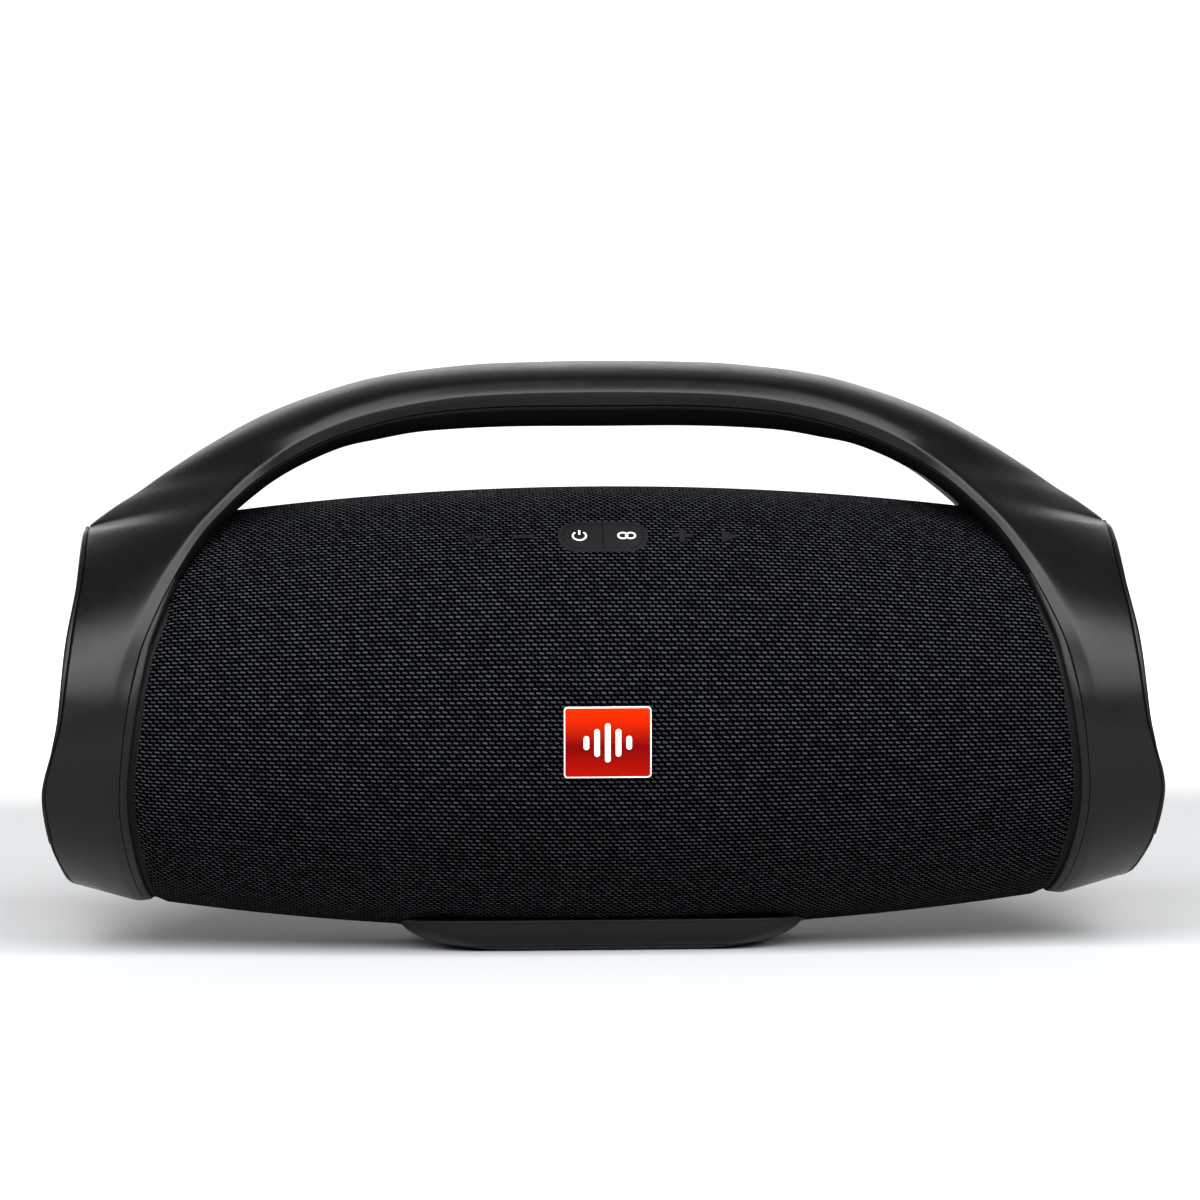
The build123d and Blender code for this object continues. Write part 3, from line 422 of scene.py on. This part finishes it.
# ---- ring and handle moulding --------------------------------------------------
# Front right quarter, from under the ring to the middle of the handle. Each row is
# the ridge (x, z), the lip seam (x, z), the inner edge (x, z) and the height of the
# outer boundary. Handle rows also give the outer boundary's x.
RING_STATIONS = [
    (205.5, -84.2, 201.8, -83.9, 198.8, -83.4, -77.2),
    (207.2, -79.2, 203.2, -78.8, 200.2, -78.4, -73),
    (211, -68, 206.4, -67.6, 203, -67.2, -63),
    (212.8, -56, 208.6, -56, 205, -56, -52),
    (214, -34, 210.6, -34, 206.9, -34, -31.5),
    (214.2, -12, 209, -12, 205.2, -12, -11),
    (213.4, 0, 207.6, 0, 203.5, 0, 0),
    (212.4, 10.5, 205.9, 10.3, 201.8, 10.1, 10),
    (210.2, 22.5, 203.5, 22, 199.4, 21.6, 22),
    (206, 35.8, 199.7, 35.2, 196.2, 34.4, 35),
    (202.4, 44.3, 196.2, 43.8, 193, 42.8, 46),
    (195, 59.2, 189.2, 58.3, 186.3, 57, 62.5),
    (189.7, 68, 184.4, 66.8, 181.6, 65.3, 70.5),
    (183.3, 77, 178.8, 75.6, 175.9, 73.6, 77),
    (176.5, 86, 172.6, 83.8, 169.6, 81.6, 81),
    (168, 95, 164.3, 92.5, 161.3, 89.8, 82.6),
]
HANDLE_STATIONS = [
    (161.6, 101.2, 158.3, 98.2, 155, 95, 91, 215),
    (153.4, 108.3, 150.3, 104.7, 146.6, 101.4, 97.6, 204.5),
    (144.5, 114.3, 141.4, 110.5, 137.6, 107, 106, 192.5),
    (131.3, 121.8, 128.4, 117.3, 124.4, 113.4, 119.6, 171),
    (118, 127.5, 115.5, 122.8, 111.5, 118.2, 131.4, 149),
    (105, 132, 103, 126.8, 100, 120.6, 140, 127),
    (87.5, 136.2, 86, 130.9, 84, 123.6, 147.8, 100),
    (70, 139.2, 69, 133.3, 68, 125.1, 151.3, 78),
    (43.4, 141.4, 43.2, 135.1, 43, 126.2, 154, 46),
    (0, 142.2, 0, 135.4, 0, 126.3, 154.85, 0),
]
# Where the moulding meets the bezel: x by height, and a radius that grows upwards.
OUTER_Z = (-77, -63, -48, -31, -11, 0, 23, 46, 72, 83)
OUTER_X = (232, 238, 241.5, 243, 238.5, 235.5, 232.5, 229.5, 226, 226)
OUTER_R = 79.8
OUTER_TOP = 82.6
# How far the moulding's face swells from flat, forwards and upwards, by the ridge's height.
SWELL_Z = (0, 68, 86, 108, 122, 142)
SWELL_FRONT = (0.3, 0.6, 1, 3, 10, 11)
SWELL_UP = (0, 0.5, 1.9, 4.2, 6.2, 3.4)
RING_R = 85.6
# How far the ridge stands in front of the axis, by height. Below the first it keeps its radius.
NECK_Z = (12, 44, 70, 97, 115, 128, 142.2)
NECK_Y = (84.75, 76.5, 62.5, 46, 34, 30, 28.5)
ROUND_TOP = NECK_Z[0]
# Height at which the inner edge leaves the cloth.
EDGE_LEAVES = 88
# Heights over which the lip's slope and the ridge's shoulder grow.
SLOPE_RISE = 140
SHOULDER_RISE = 142
LAST_RING = len(RING_STATIONS) - 1
SAMPLES = 9
SEAM_HALF = 0.17
FRAME_WALL = 2.4


def ridge_depth(z):
    if z < ROUND_TOP:
        return math.sqrt(max(0.0, RING_R**2 - z * z))
    return float(sampled(cubic, NECK_Z, NECK_Y, z)[0])


def outer_boundary(z):
    """The moulding's outer boundary on the ring at a height: x and y."""
    x = sampled(unswerving, OUTER_Z, OUTER_X, z)[0]
    radius = OUTER_R + (OUTER_TOP - OUTER_R) * (z / OUTER_TOP) ** 3
    return float(x), -math.sqrt(max(0.0, radius**2 - z * z))


def stations_3d():
    """Ridge, seam, inner edge, outer boundary and control point of every station."""
    rows = []
    for rx, rz, sx, sz, ex, ez, tz, *outer_x in RING_STATIONS + HANDLE_STATIONS:
        rise = min(max(rz / SLOPE_RISE, 0), 1)
        ry = -ridge_depth(rz)
        seam_r = RING_R - 0.3
        lift = barrel_radius(ex) + 1.1
        edge_y = math.sqrt(max(0, lift**2 - ez**2))
        if rz < ROUND_TOP:
            sy = -math.sqrt(max(0, seam_r**2 - sz**2))
            ey = -math.sqrt(max(0, (seam_r - 0.6) ** 2 - ez**2))
        else:
            sy = max(-ridge_depth(sz + 0.6) + 0.6 + 2.6 * rise, ry + 0.4)
            ey = sy + 1.0 + 5.0 * rise**2
            if ez < EDGE_LEAVES:
                ey = min(ey, -edge_y)
        tx, ty = (outer_x[0], 0.0) if outer_x else outer_boundary(tz)
        if rz == RING_STATIONS[0][1]:
            ry = sy = ey = ty = 0.0
        front = float(np.interp(rz, SWELL_Z, SWELL_FRONT)) if ry else 0.0
        up = float(np.interp(rz, SWELL_Z, SWELL_UP))
        middle = [(rx + tx) / 2 + 0.1 * front, (ry + ty) / 2 - front, (rz + tz) / 2 + up]
        rows.append([rx, ry, rz, sx, sy, sz, ex, ey, ez, tx, ty, tz, *middle])
    return np.array(rows, float)


def dense_stations():
    base = stations_3d()
    flip_y = np.tile([1, -1, 1], 5)
    flip_x = np.tile([-1, 1, 1], 5)
    whole = np.vstack([base[2] * flip_y, base[1] * flip_y, base, base[-2] * flip_x, base[-3] * flip_x])
    at = np.concatenate([[0], np.cumsum(np.linalg.norm(np.diff(whole[:, :3], axis=0), axis=1))])
    first, last = 2, 2 + len(base) - 1
    where = np.concatenate(
        [np.linspace(at[i], at[i + 1], SAMPLES, endpoint=False) for i in range(first, last)] + [[at[last]]]
    )
    smooth = cubic(at, whole, where)
    smooth[:, 9:12] = unswerving(at, whole[:, 9:12], where)
    smooth[:, [1, 4, 7, 10, 13]] = np.minimum(smooth[:, [1, 4, 7, 10, 13]], 0)
    crossing = at[first + LAST_RING]
    smooth[where >= crossing, 10] = 0
    smooth[0, [1, 4, 7, 10, 13]] = 0
    smooth[-1, [0, 3, 6, 9, 12]] = 0
    return smooth.reshape(len(where), 5, 3)


DENSE = dense_stations()


def frame_profile(ridge, seam, edge, outer, middle):
    """Across the moulding at one station, from the lip seam over the ridge."""
    rise = max(ridge[2] / SHOULDER_RISE, 0)
    corner = 0.9
    shoulder = 2.6 + 4.6 * rise
    toward = seam - ridge
    reach = np.linalg.norm(toward)
    start = seam + unit(ridge - seam) * SEAM_HALF
    cut = min(corner / reach, 0.55)
    below = ridge + toward * cut
    back = min(shoulder / (2 * np.linalg.norm(middle - ridge)), 0.4)
    above = bezier(ridge, middle, outer, back)
    points = [start + (below - start) * t for t in (0, 0.08, 0.3, 0.65)]
    points += [bezier(below, ridge, above, t) for t in np.linspace(0, 1, 7)]
    points += [bezier(ridge, middle, outer, t) for t in np.linspace(back, 1, 25)[1:]]
    return points


frame_grid = np.array([frame_profile(*row) for row in DENSE])
frame_piece = shown(
    "ring_and_handle", *mirrored(frame_grid, (1, -1), (1, -1)), "speaker", "soft_touch",
    replaces=["handle_frame"],
)
weld(frame_piece, 20)
thicken(frame_piece, FRAME_WALL)


# ---- lip rings and handle grip -------------------------------------------------
# The lip's inner wall turns from facing the axis to facing backwards over these heights.
TURN_START = 8
TURN_RISE = 50
# Strips of a lip's skin that lie under the frame, given painted shade.
GAP_STRIPS = 3
LIP_WALL = 0.9
GRIP_WALL = 1.6


def lip_profile(ridge, seam, edge, outer, middle, flange):
    """Across the lining band: from the seam over its rounded lip, then down its inner wall."""
    turn = min(max((edge[2] - TURN_START) / TURN_RISE, 0), 1)
    turn = turn * turn * (3 - 2 * turn)
    radial = unit(np.array([0, -edge[1], -edge[2]]))
    inward = unit(radial * (1 - turn) + np.array([0, 1, 0]) * turn)
    corner = 1.5 + 2.2 * turn
    start = seam + unit(edge - seam) * SEAM_HALF
    before = edge + unit(seam - edge) * min(corner, 0.75 * np.linalg.norm(seam - edge))
    after = edge + inward * min(corner, 0.8 * max(-edge[1], 2.0))
    points = [start + inward * 2.7 - unit(edge - seam) * 1.6]
    points += [start + inward * 2.7, start + inward * 1.2, start]
    points += [start + (before - start) * t for t in (0.35, 0.7)]
    points += [bezier(before, edge, after, t) for t in np.linspace(0, 1, 7)]
    if flange:
        rest = barrel_radius(edge[0]) - 1.25
        foot = np.array([edge[0] + 0.25, 0, 0]) + (-radial) * rest
        points += [after + (foot - after) * t for t in (0.5, 1)]
        points += [foot - np.array([0.9 * k, 0, 0]) for k in (1, 2)]
        points.append(foot + np.array([-2.3, 0, 0]) - radial * 0.35)
        points.append(foot + np.array([-3.4, 0, 0]) - radial * 0.1)
        return points
    stop = barrel_radius(edge[0]) + 0.2
    if edge[2] > stop:
        end = np.array([edge[0], 0, edge[2] + 0.4])
    else:
        end = np.array([edge[0], -math.sqrt(stop**2 - edge[2] ** 2), edge[2]])
        if end[1] < after[1]:
            end = after + inward * 0.6
    points += [after + (end - after) * t for t in (0.2, 0.4, 0.6, 0.8, 0.93, 1)]
    return points


def paint_gap_shade(piece, grid):
    """Give the flange that reaches under the frame, seen only through the seam, a darker material as
    painted shade.
    """
    piece.data.materials.append(GAP_PAINTED_SHADE)
    strips = grid.shape[1] - 1
    for face in piece.data.polygons:
        if face.index % strips < GAP_STRIPS:
            face.material_index = 1


LIP_TOP = 62.0
split = int(np.argmin(np.abs(DENSE[:, 2, 2] - LIP_TOP)))
ring_grid = np.array([lip_profile(*row, True) for row in DENSE[: split + 1]])
grip_grid = np.array([lip_profile(*row, False) for row in DENSE[split:]])
for word, side in (("left", -1), ("right", 1)):
    lip = shown(
        f"lip_{word}", *mirrored(ring_grid, (side,), (1, -1)), "speaker", "matte_black",
        replaces=[f"ring_lip_{word}"],
    )
    paint_gap_shade(lip, ring_grid)
    weld(lip, 5)
    # Lip faces sunk below the cloth also get the painted-shade material.
    for face in lip.data.polygons:
        here = np.mean([lip.data.vertices[v].co for v in face.vertices], axis=0) / MM
        out = math.hypot(here[1], here[2] - AXIS_Z)
        if out < barrel_radius(abs(here[0])) - 0.2:
            face.material_index = 1
    thicken(lip, LIP_WALL)
# The grip is given the darker painted-shade copy of its black.
grip = shown(
    "grip", *mirrored(grip_grid, (1, -1), (1, -1)), "speaker", "matte_black", GRIP_PAINTED_SHADE, ["handle_grip"]
)
paint_gap_shade(grip, grip_grid)
weld(grip, 5)
thicken(grip, GRIP_WALL)


# ---- end bezels ----------------------------------------------------------------
# Outermost x of the rim, by angle up from straight below at the front.
RIM_ANGLE = (-90, -60, -42, -26, -12, 2, 25, 50, 90)
RIM_X = (234.5, 238, 241.5, 243.5, 241, 237.5, 234.5, 230, 228.5)
BORE = 72.5
BEZEL_WALL = 0.8
# Inner wall of the bezel's bore, in x.
BORE_ENDS = (222, 219.5)


def bezel_rows():
    """Seam points of the bezel by angle, with the rim's outermost x."""
    seam = DENSE[: LAST_RING * SAMPLES + 1, 3]
    angle = np.degrees(np.arctan2(seam[:, 2], -seam[:, 1]))
    radius = np.hypot(seam[:, 1], seam[:, 2])
    rim = sampled(unswerving, RIM_ANGLE, RIM_X, np.clip(angle, -90, 90))
    return zip(angle, radius, seam[:, 0], rim)


def bezel_profile(angle, radius, seam_x, rim_x):
    turn = math.radians(angle)
    out = np.array([0, -math.cos(turn), math.sin(turn)])
    along = np.array([1, 0, 0])
    x = seam_x + 2 * SEAM_HALF
    rim_x = max(rim_x, x + 0.5)
    wide = rim_x - x
    bore = BORE + 0.35 * max(radius - 80, 0)
    marks = [(x, radius - 1.6), (x, radius - 0.25), (x + 0.3, radius)]
    marks.append((x + 0.45 * wide, radius - 0.12 * wide))
    shoulder = np.array([rim_x, radius - 0.3 * wide])
    start, end = np.array(marks[-1]), np.array([rim_x - 0.7, radius - 0.9 * wide - 1.2])
    marks += [tuple(bezier(start, shoulder, end, t)) for t in np.linspace(0, 1, 8)[1:]]
    lip = np.array([rim_x - 1.3, bore + 0.2])
    marks += [tuple(end + (lip - end) * t) for t in (0.5, 0.85)]
    bend = (np.array(marks[-1]), np.array([rim_x - 1.5, bore]), np.array([rim_x - 3.2, bore - 0.3]))
    marks += [tuple(bezier(*bend, t)) for t in (0.35, 0.7, 1)]
    marks.append((rim_x - 6, bore - 0.4))
    marks += [(bore_x, bore - 0.6) for bore_x in BORE_ENDS]
    return [along * mark_x + out * mark_r for mark_x, mark_r in marks]


bezel_grid = np.array([bezel_profile(*row) for row in bezel_rows()])
bezel_grid[0, :, 1] = 0
bezel_grid[-1, :, 1] = 0
for word, side in (("left", -1), ("right", 1)):
    bezel = shown(
        f"bezel_{word}", *mirrored(bezel_grid, (side,), (1, -1)), "speaker", "matte_black",
        replaces=[f"end_bezel_{word}"],
    )
    weld(bezel, 4)
    thicken(bezel, BEZEL_WALL)


# ---- cloth sleeve --------------------------------------------------------------
# End of the cloth by angle up from straight below at the front.
HEM_ANGLE = (-90, -53, -23, 0, 18, 38, 54, 90)
HEM_X = (196.5, 200, 204, 200.5, 196.5, 188.5, 194, 198)
# The opening for the rear flap, under its surround.
DOORWAY_HALF = 60.5
DOORWAY_TALL = 26.5
ROWS = 288
COLUMNS = 84
ROW_PITCH = 1.95
FLOAT_PITCH = 3.1


def cut_doorway(piece):
    """Take the rear flap's opening out of the sleeve."""
    work = bmesh.new()
    work.from_mesh(piece.data)
    middle = AXIS_Z * MM
    cuts = [((side * DOORWAY_HALF * MM, 0, middle), (1, 0, 0)) for side in (-1, 1)]
    cuts += [((0, 0, middle + side * DOORWAY_TALL * MM), (0, 0, 1)) for side in (-1, 1)]
    for place, across in cuts:
        rear = [face for face in work.faces if face.calc_center_median().y > 0]
        edges = list({edge for face in rear for edge in face.edges})
        points = list({point for face in rear for point in face.verts})
        bmesh.ops.bisect_plane(work, geom=rear + edges + points, plane_co=place, plane_no=across)
    inside = []
    for face in work.faces:
        centre = face.calc_center_median()
        level = abs(centre.z - middle)
        if centre.y > 0 and abs(centre.x) < DOORWAY_HALF * MM and level < DOORWAY_TALL * MM:
            inside.append(face)
    bmesh.ops.delete(work, geom=inside, context="FACES")
    work.to_mesh(piece.data)
    work.free()


def cloth_sleeve():
    verts, faces, marks = [], [], []
    cells_round = round(2 * math.pi * BARREL / ROW_PITCH / 2) * 2
    spread = np.linspace(-1, 1, COLUMNS)
    for i in range(ROWS):
        turn = -math.pi + 2 * math.pi * i / ROWS
        front = math.degrees(math.asin(max(-1, min(1, math.sin(turn)))))
        end = float(sampled(unswerving, HEM_ANGLE, HEM_X, front)[0])
        for share in spread:
            x = share * end
            inset = end - abs(x)
            roll = 1.3 * max(0, 1 - inset / 1.6) ** 2
            radius = float(barrel_radius(x)) - roll
            verts.append((x, -math.cos(turn) * radius, math.sin(turn) * radius))
            marks.append((x / FLOAT_PITCH, cells_round * i / ROWS))
    for i in range(ROWS):
        for j in range(COLUMNS - 1):
            a, b = i * COLUMNS + j, (i + 1) % ROWS * COLUMNS + j
            faces.append((a, a + 1, b + 1, b))
    piece = shown("cloth_sleeve", verts, faces, "speaker", "woven_cloth", replaces=["speaker_cloth"])
    layer = piece.data.uv_layers.new(name="weave")
    for face in piece.data.polygons:
        last = face.index // (COLUMNS - 1) == ROWS - 1
        for corner in face.loop_indices:
            vertex = piece.data.loops[corner].vertex_index
            u, v = marks[vertex]
            if last and vertex < COLUMNS:
                v += cells_round
            layer.data[corner].uv = (u, v)
    cut_doorway(piece)
    return piece


sleeve = cloth_sleeve()


# ---- foot ----------------------------------------------------------------------
# Half length, half depth and corner radius: on the floor, and where the foot is widest.
FOOT_FLOOR = np.array([50.0, 33.0, 17.0])
FOOT_WIDEST = np.array([90.0, 43.8, 24.5])
FOOT_TOP = 13.9
SOLE_TOP = 2.7
AROUND = 168


def rounded(half_x, half_y, corner):
    """Points evenly round a rectangle with rounded corners."""
    corner = min(corner, half_x, half_y)
    runs = []
    for quarter, (sx, sy) in enumerate(((1, 1), (-1, 1), (-1, -1), (1, -1))):
        for step in range(15):
            a = math.pi / 2 * (quarter + step / 14)
            x = sx * (half_x - corner) + corner * math.cos(a)
            y = sy * (half_y - corner) + corner * math.sin(a)
            runs.append((x, y))
    runs = np.array(runs + runs[:1])
    at = np.concatenate([[0], np.cumsum(np.linalg.norm(np.diff(runs, axis=0), axis=1))])
    where = np.linspace(0, at[-1], AROUND, endpoint=False)
    return np.stack([np.interp(where, at, runs[:, 0]), np.interp(where, at, runs[:, 1])], axis=1)


def foot_section(z):
    """Half length, half depth and corner radius at a height: a quarter ellipse upwards."""
    swell = math.sqrt(max(0.0, 1 - (1 - z / FOOT_TOP) ** 2))
    return FOOT_FLOOR + (FOOT_WIDEST - FOOT_FLOOR) * swell


def loops_mesh(name, loops, body, slot, node):
    """A closed skin through loops of points, capped at both ends."""
    verts = [tuple(point) for loop in loops for point in loop]
    faces = []
    for i in range(len(loops) - 1):
        for k in range(AROUND):
            a, b = i * AROUND + k, i * AROUND + (k + 1) % AROUND
            faces.append((a, b, b + AROUND, a + AROUND))
    faces.append(list(range(AROUND))[::-1])
    faces.append([(len(loops) - 1) * AROUND + k for k in range(AROUND)])
    return shown(name, verts, faces, body, slot, replaces=[node])


def foot_loop(z, inset=0.0, level=None):
    half, depth, corner = foot_section(z)
    flat = rounded(half - inset, depth - inset, max(corner - inset, 2))
    height = z if level is None else level
    under = AXIS_Z - np.sqrt(np.maximum(barrel_radius(flat[:, 0]) ** 2 - flat[:, 1] ** 2, 0)) - 0.35
    return np.stack([flat[:, 0], flat[:, 1], np.minimum(height, under) - AXIS_Z], axis=1)


sole_loops = [foot_loop(0, 30), foot_loop(0, 12)]
sole_loops += [foot_loop(z) for z in (0, 0.25, 0.6, 0.9, 1.4, 2.0)]
sole_loops += [foot_loop(SOLE_TOP - 0.3, 0.05), foot_loop(SOLE_TOP - 0.15, 0.35)]
sole_loops.append(foot_loop(SOLE_TOP - 0.12, 3))
loops_mesh("sole", sole_loops, "speaker", "black_rubber", "foot_pad")
foot_loops = [foot_loop(SOLE_TOP, 4), foot_loop(SOLE_TOP, 0.3), foot_loop(SOLE_TOP + 0.15, 0.0)]
foot_loops += [foot_loop(z) for z in (3.6, 4.5, 5.6, 7, 8.5, 10, 11.5, 12.7)]
foot_loops += [foot_loop(13.3, -0.05), foot_loop(13.5, -0.45, 13.5)]
foot_loops += [foot_loop(FOOT_TOP, -0.6, 14.0), foot_loop(FOOT_TOP, -0.45, 14.5)]
foot_loops += [foot_loop(FOOT_TOP, inset, 14.7) for inset in (0.1, 1, 3, 6, 10, 15, 21, 28, 36)]
loops_mesh("foot_body", foot_loops, "speaker", "matte_black", "foot")


# ---- raised marks on the barrel ------------------------------------------------
def on_barrel(x, angle, height):
    turn = math.radians(angle)
    radius = float(barrel_radius(x)) + height
    return np.array([x, -math.cos(turn) * radius, math.sin(turn) * radius])


def stroke(name, lines, width, centre, base, top, body, slot, material):
    """A raised line of some width along flat paths laid on the barrel at the key row."""
    verts, faces = [], []
    for path, closed in lines:
        path = np.array(path, float)
        count = len(path)
        start = len(verts)
        for i in range(count):
            if closed:
                ahead, behind = path[(i + 1) % count], path[i - 1]
            else:
                ahead, behind = path[min(i + 1, count - 1)], path[max(i - 1, 0)]
            normal = unit(np.array([-(ahead - behind)[1], (ahead - behind)[0]]))
            for offset, height in ((-0.5, base), (-0.42, top), (0.42, top), (0.5, base)):
                u, v = path[i] + normal * offset * width
                verts.append(on_barrel(centre + u, KEY_ANGLE + math.degrees(v / BARREL), height))
        for i in range(count if closed else count - 1):
            a, b = start + 4 * i, start + 4 * ((i + 1) % count)
            for k in range(4):
                faces.append((a + k, a + (k + 1) % 4, b + (k + 1) % 4, b + k))
        if not closed:
            faces.append([start + k for k in (3, 2, 1, 0)])
            faces.append([start + 4 * (count - 1) + k for k in range(4)])
    piece = shown(name, verts, faces, body, slot, material, smooth=False)
    work = bmesh.new()
    work.from_mesh(piece.data)
    bmesh.ops.recalc_face_normals(work, faces=work.faces)
    work.to_mesh(piece.data)
    work.free()
    return piece


def arc(radius, start, end, steps, centre=(0, 0)):
    angles = np.radians(np.linspace(start, end, steps))
    return [(centre[0] + radius * math.cos(a), centre[1] + radius * math.sin(a)) for a in angles]


KEY_X = 10.3
power_lines = [(arc(2.9, 130, 410, 28), False), ([(0, 0.8), (0, 2.2), (0, 3.7)], False)]
link_lines = [
    (arc(2.0, 0, 345, 24, (-1.7, 0)), True),
    (arc(2.0, 0, 345, 24, (1.7, 0)), True),
]


def pad_height(node):
    """Highest point of a pad key above the cloth, in millimetres."""
    best = 0.0
    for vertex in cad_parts[node].data.vertices:
        x, y, z = vertex.co.x / MM, vertex.co.y / MM, vertex.co.z / MM - AXIS_Z
        best = max(best, math.hypot(y, z) - float(barrel_radius(x)))
    return best


for name, node, x, lines in (
    ("power_print", "button_power", -KEY_X, power_lines),
    ("link_print", "button_link", KEY_X, link_lines),
):
    level = pad_height(node)
    stroke(name, lines, 0.85, x, level - 0.05, level + 0.09, node, "badge_pale", PRINT)


# ---- stage, light and camera ---------------------------------------------------
def plain(name, colour, roughness=0.7):
    look = Look(name, roughness, specular=0.2)
    look.set("Base Color", look.blend(look.noise(3.0), colour, [c * 1.01 for c in colour]))
    return look.material


def backdrop():
    """A pale floor that curves up into a wall behind the object."""
    steps = 24
    bend, back, wall = 0.8, 3.6, 3.4
    line = [(-4.0, 0.0), (0.0, 0.0), (back - bend, 0.0)]
    line += [
        (back - bend + bend * math.sin(a), bend - bend * math.cos(a))
        for a in np.linspace(0, math.pi / 2, steps)[1:]
    ]
    line.append((back, wall))
    verts = [(x, y, z) for y, z in line for x in (-5.0, 5.0)]
    faces = [(2 * i, 2 * i + 1, 2 * i + 3, 2 * i + 2) for i in range(len(line) - 1)]
    mesh = bpy.data.meshes.new("backdrop")
    mesh.from_pydata(verts, [], faces)
    mesh.materials.append(plain("backdrop_look", (0.52, 0.52, 0.52)))
    for face in mesh.polygons:
        face.use_smooth = True
    sweep = bpy.data.objects.new("backdrop", mesh)
    bpy.context.scene.collection.objects.link(sweep)


def area_light(name, place, target, width, height, power, colour=(1, 1, 1)):
    data = bpy.data.lights.new(name, "AREA")
    data.shape = "RECTANGLE"
    data.size = width
    data.size_y = height
    data.energy = power
    data.color = colour
    light = bpy.data.objects.new(name, data)
    light.location = place
    light.rotation_euler = (Vector(target) - Vector(place)).to_track_quat("-Z", "Y").to_euler()
    bpy.context.scene.collection.objects.link(light)


backdrop()
middle = (0, 0, 0.12)
area_light("window", (0.0, -1.65, 1.6), middle, 5.4, 1.6, 250, (0.95, 0.975, 1.0))
area_light("rim", (0.0, 1.45, 2.2), middle, 3.0, 0.7, 2.5, (1.0, 0.95, 0.88))
area_light("wall_wash", (0.0, 1.0, 1.0), (0, 2.6, 0.3), 3.4, 0.5, 150)
area_light("rear_fill", (0.0, 2.9, 1.5), middle, 2.6, 1.2, 6, (1.0, 0.98, 0.95))

world = bpy.data.worlds.new("studio")
world.use_nodes = True
world.node_tree.nodes["Background"].inputs["Color"].default_value = (0.93, 0.95, 1.0, 1)
world.node_tree.nodes["Background"].inputs["Strength"].default_value = 0.12
scene = bpy.context.scene
scene.world = world
scene.view_settings.view_transform = "Standard"

AZIMUTH = math.radians(-2.2)
ELEVATION = math.radians(5.0)
DISTANCE = 2.5
ROLL = math.radians(-0.25)
back = Vector((
    math.sin(AZIMUTH) * math.cos(ELEVATION), -math.cos(AZIMUTH) * math.cos(ELEVATION), math.sin(ELEVATION)
))
lens = bpy.data.cameras.new("camera")
lens.lens = 167.7
lens.sensor_width = 36
camera = bpy.data.objects.new("camera", lens)
camera.location = Vector((0, 0, AXIS_Z * MM)) + back * DISTANCE
aim = Vector((0.0008, 0, (AXIS_Z + 48) * MM))
level = (aim - camera.location).to_track_quat("-Z", "Y")
camera.rotation_euler = (level @ Quaternion((0, 0, 1), ROLL)).to_euler()
scene.collection.objects.link(camera)
scene.camera = camera
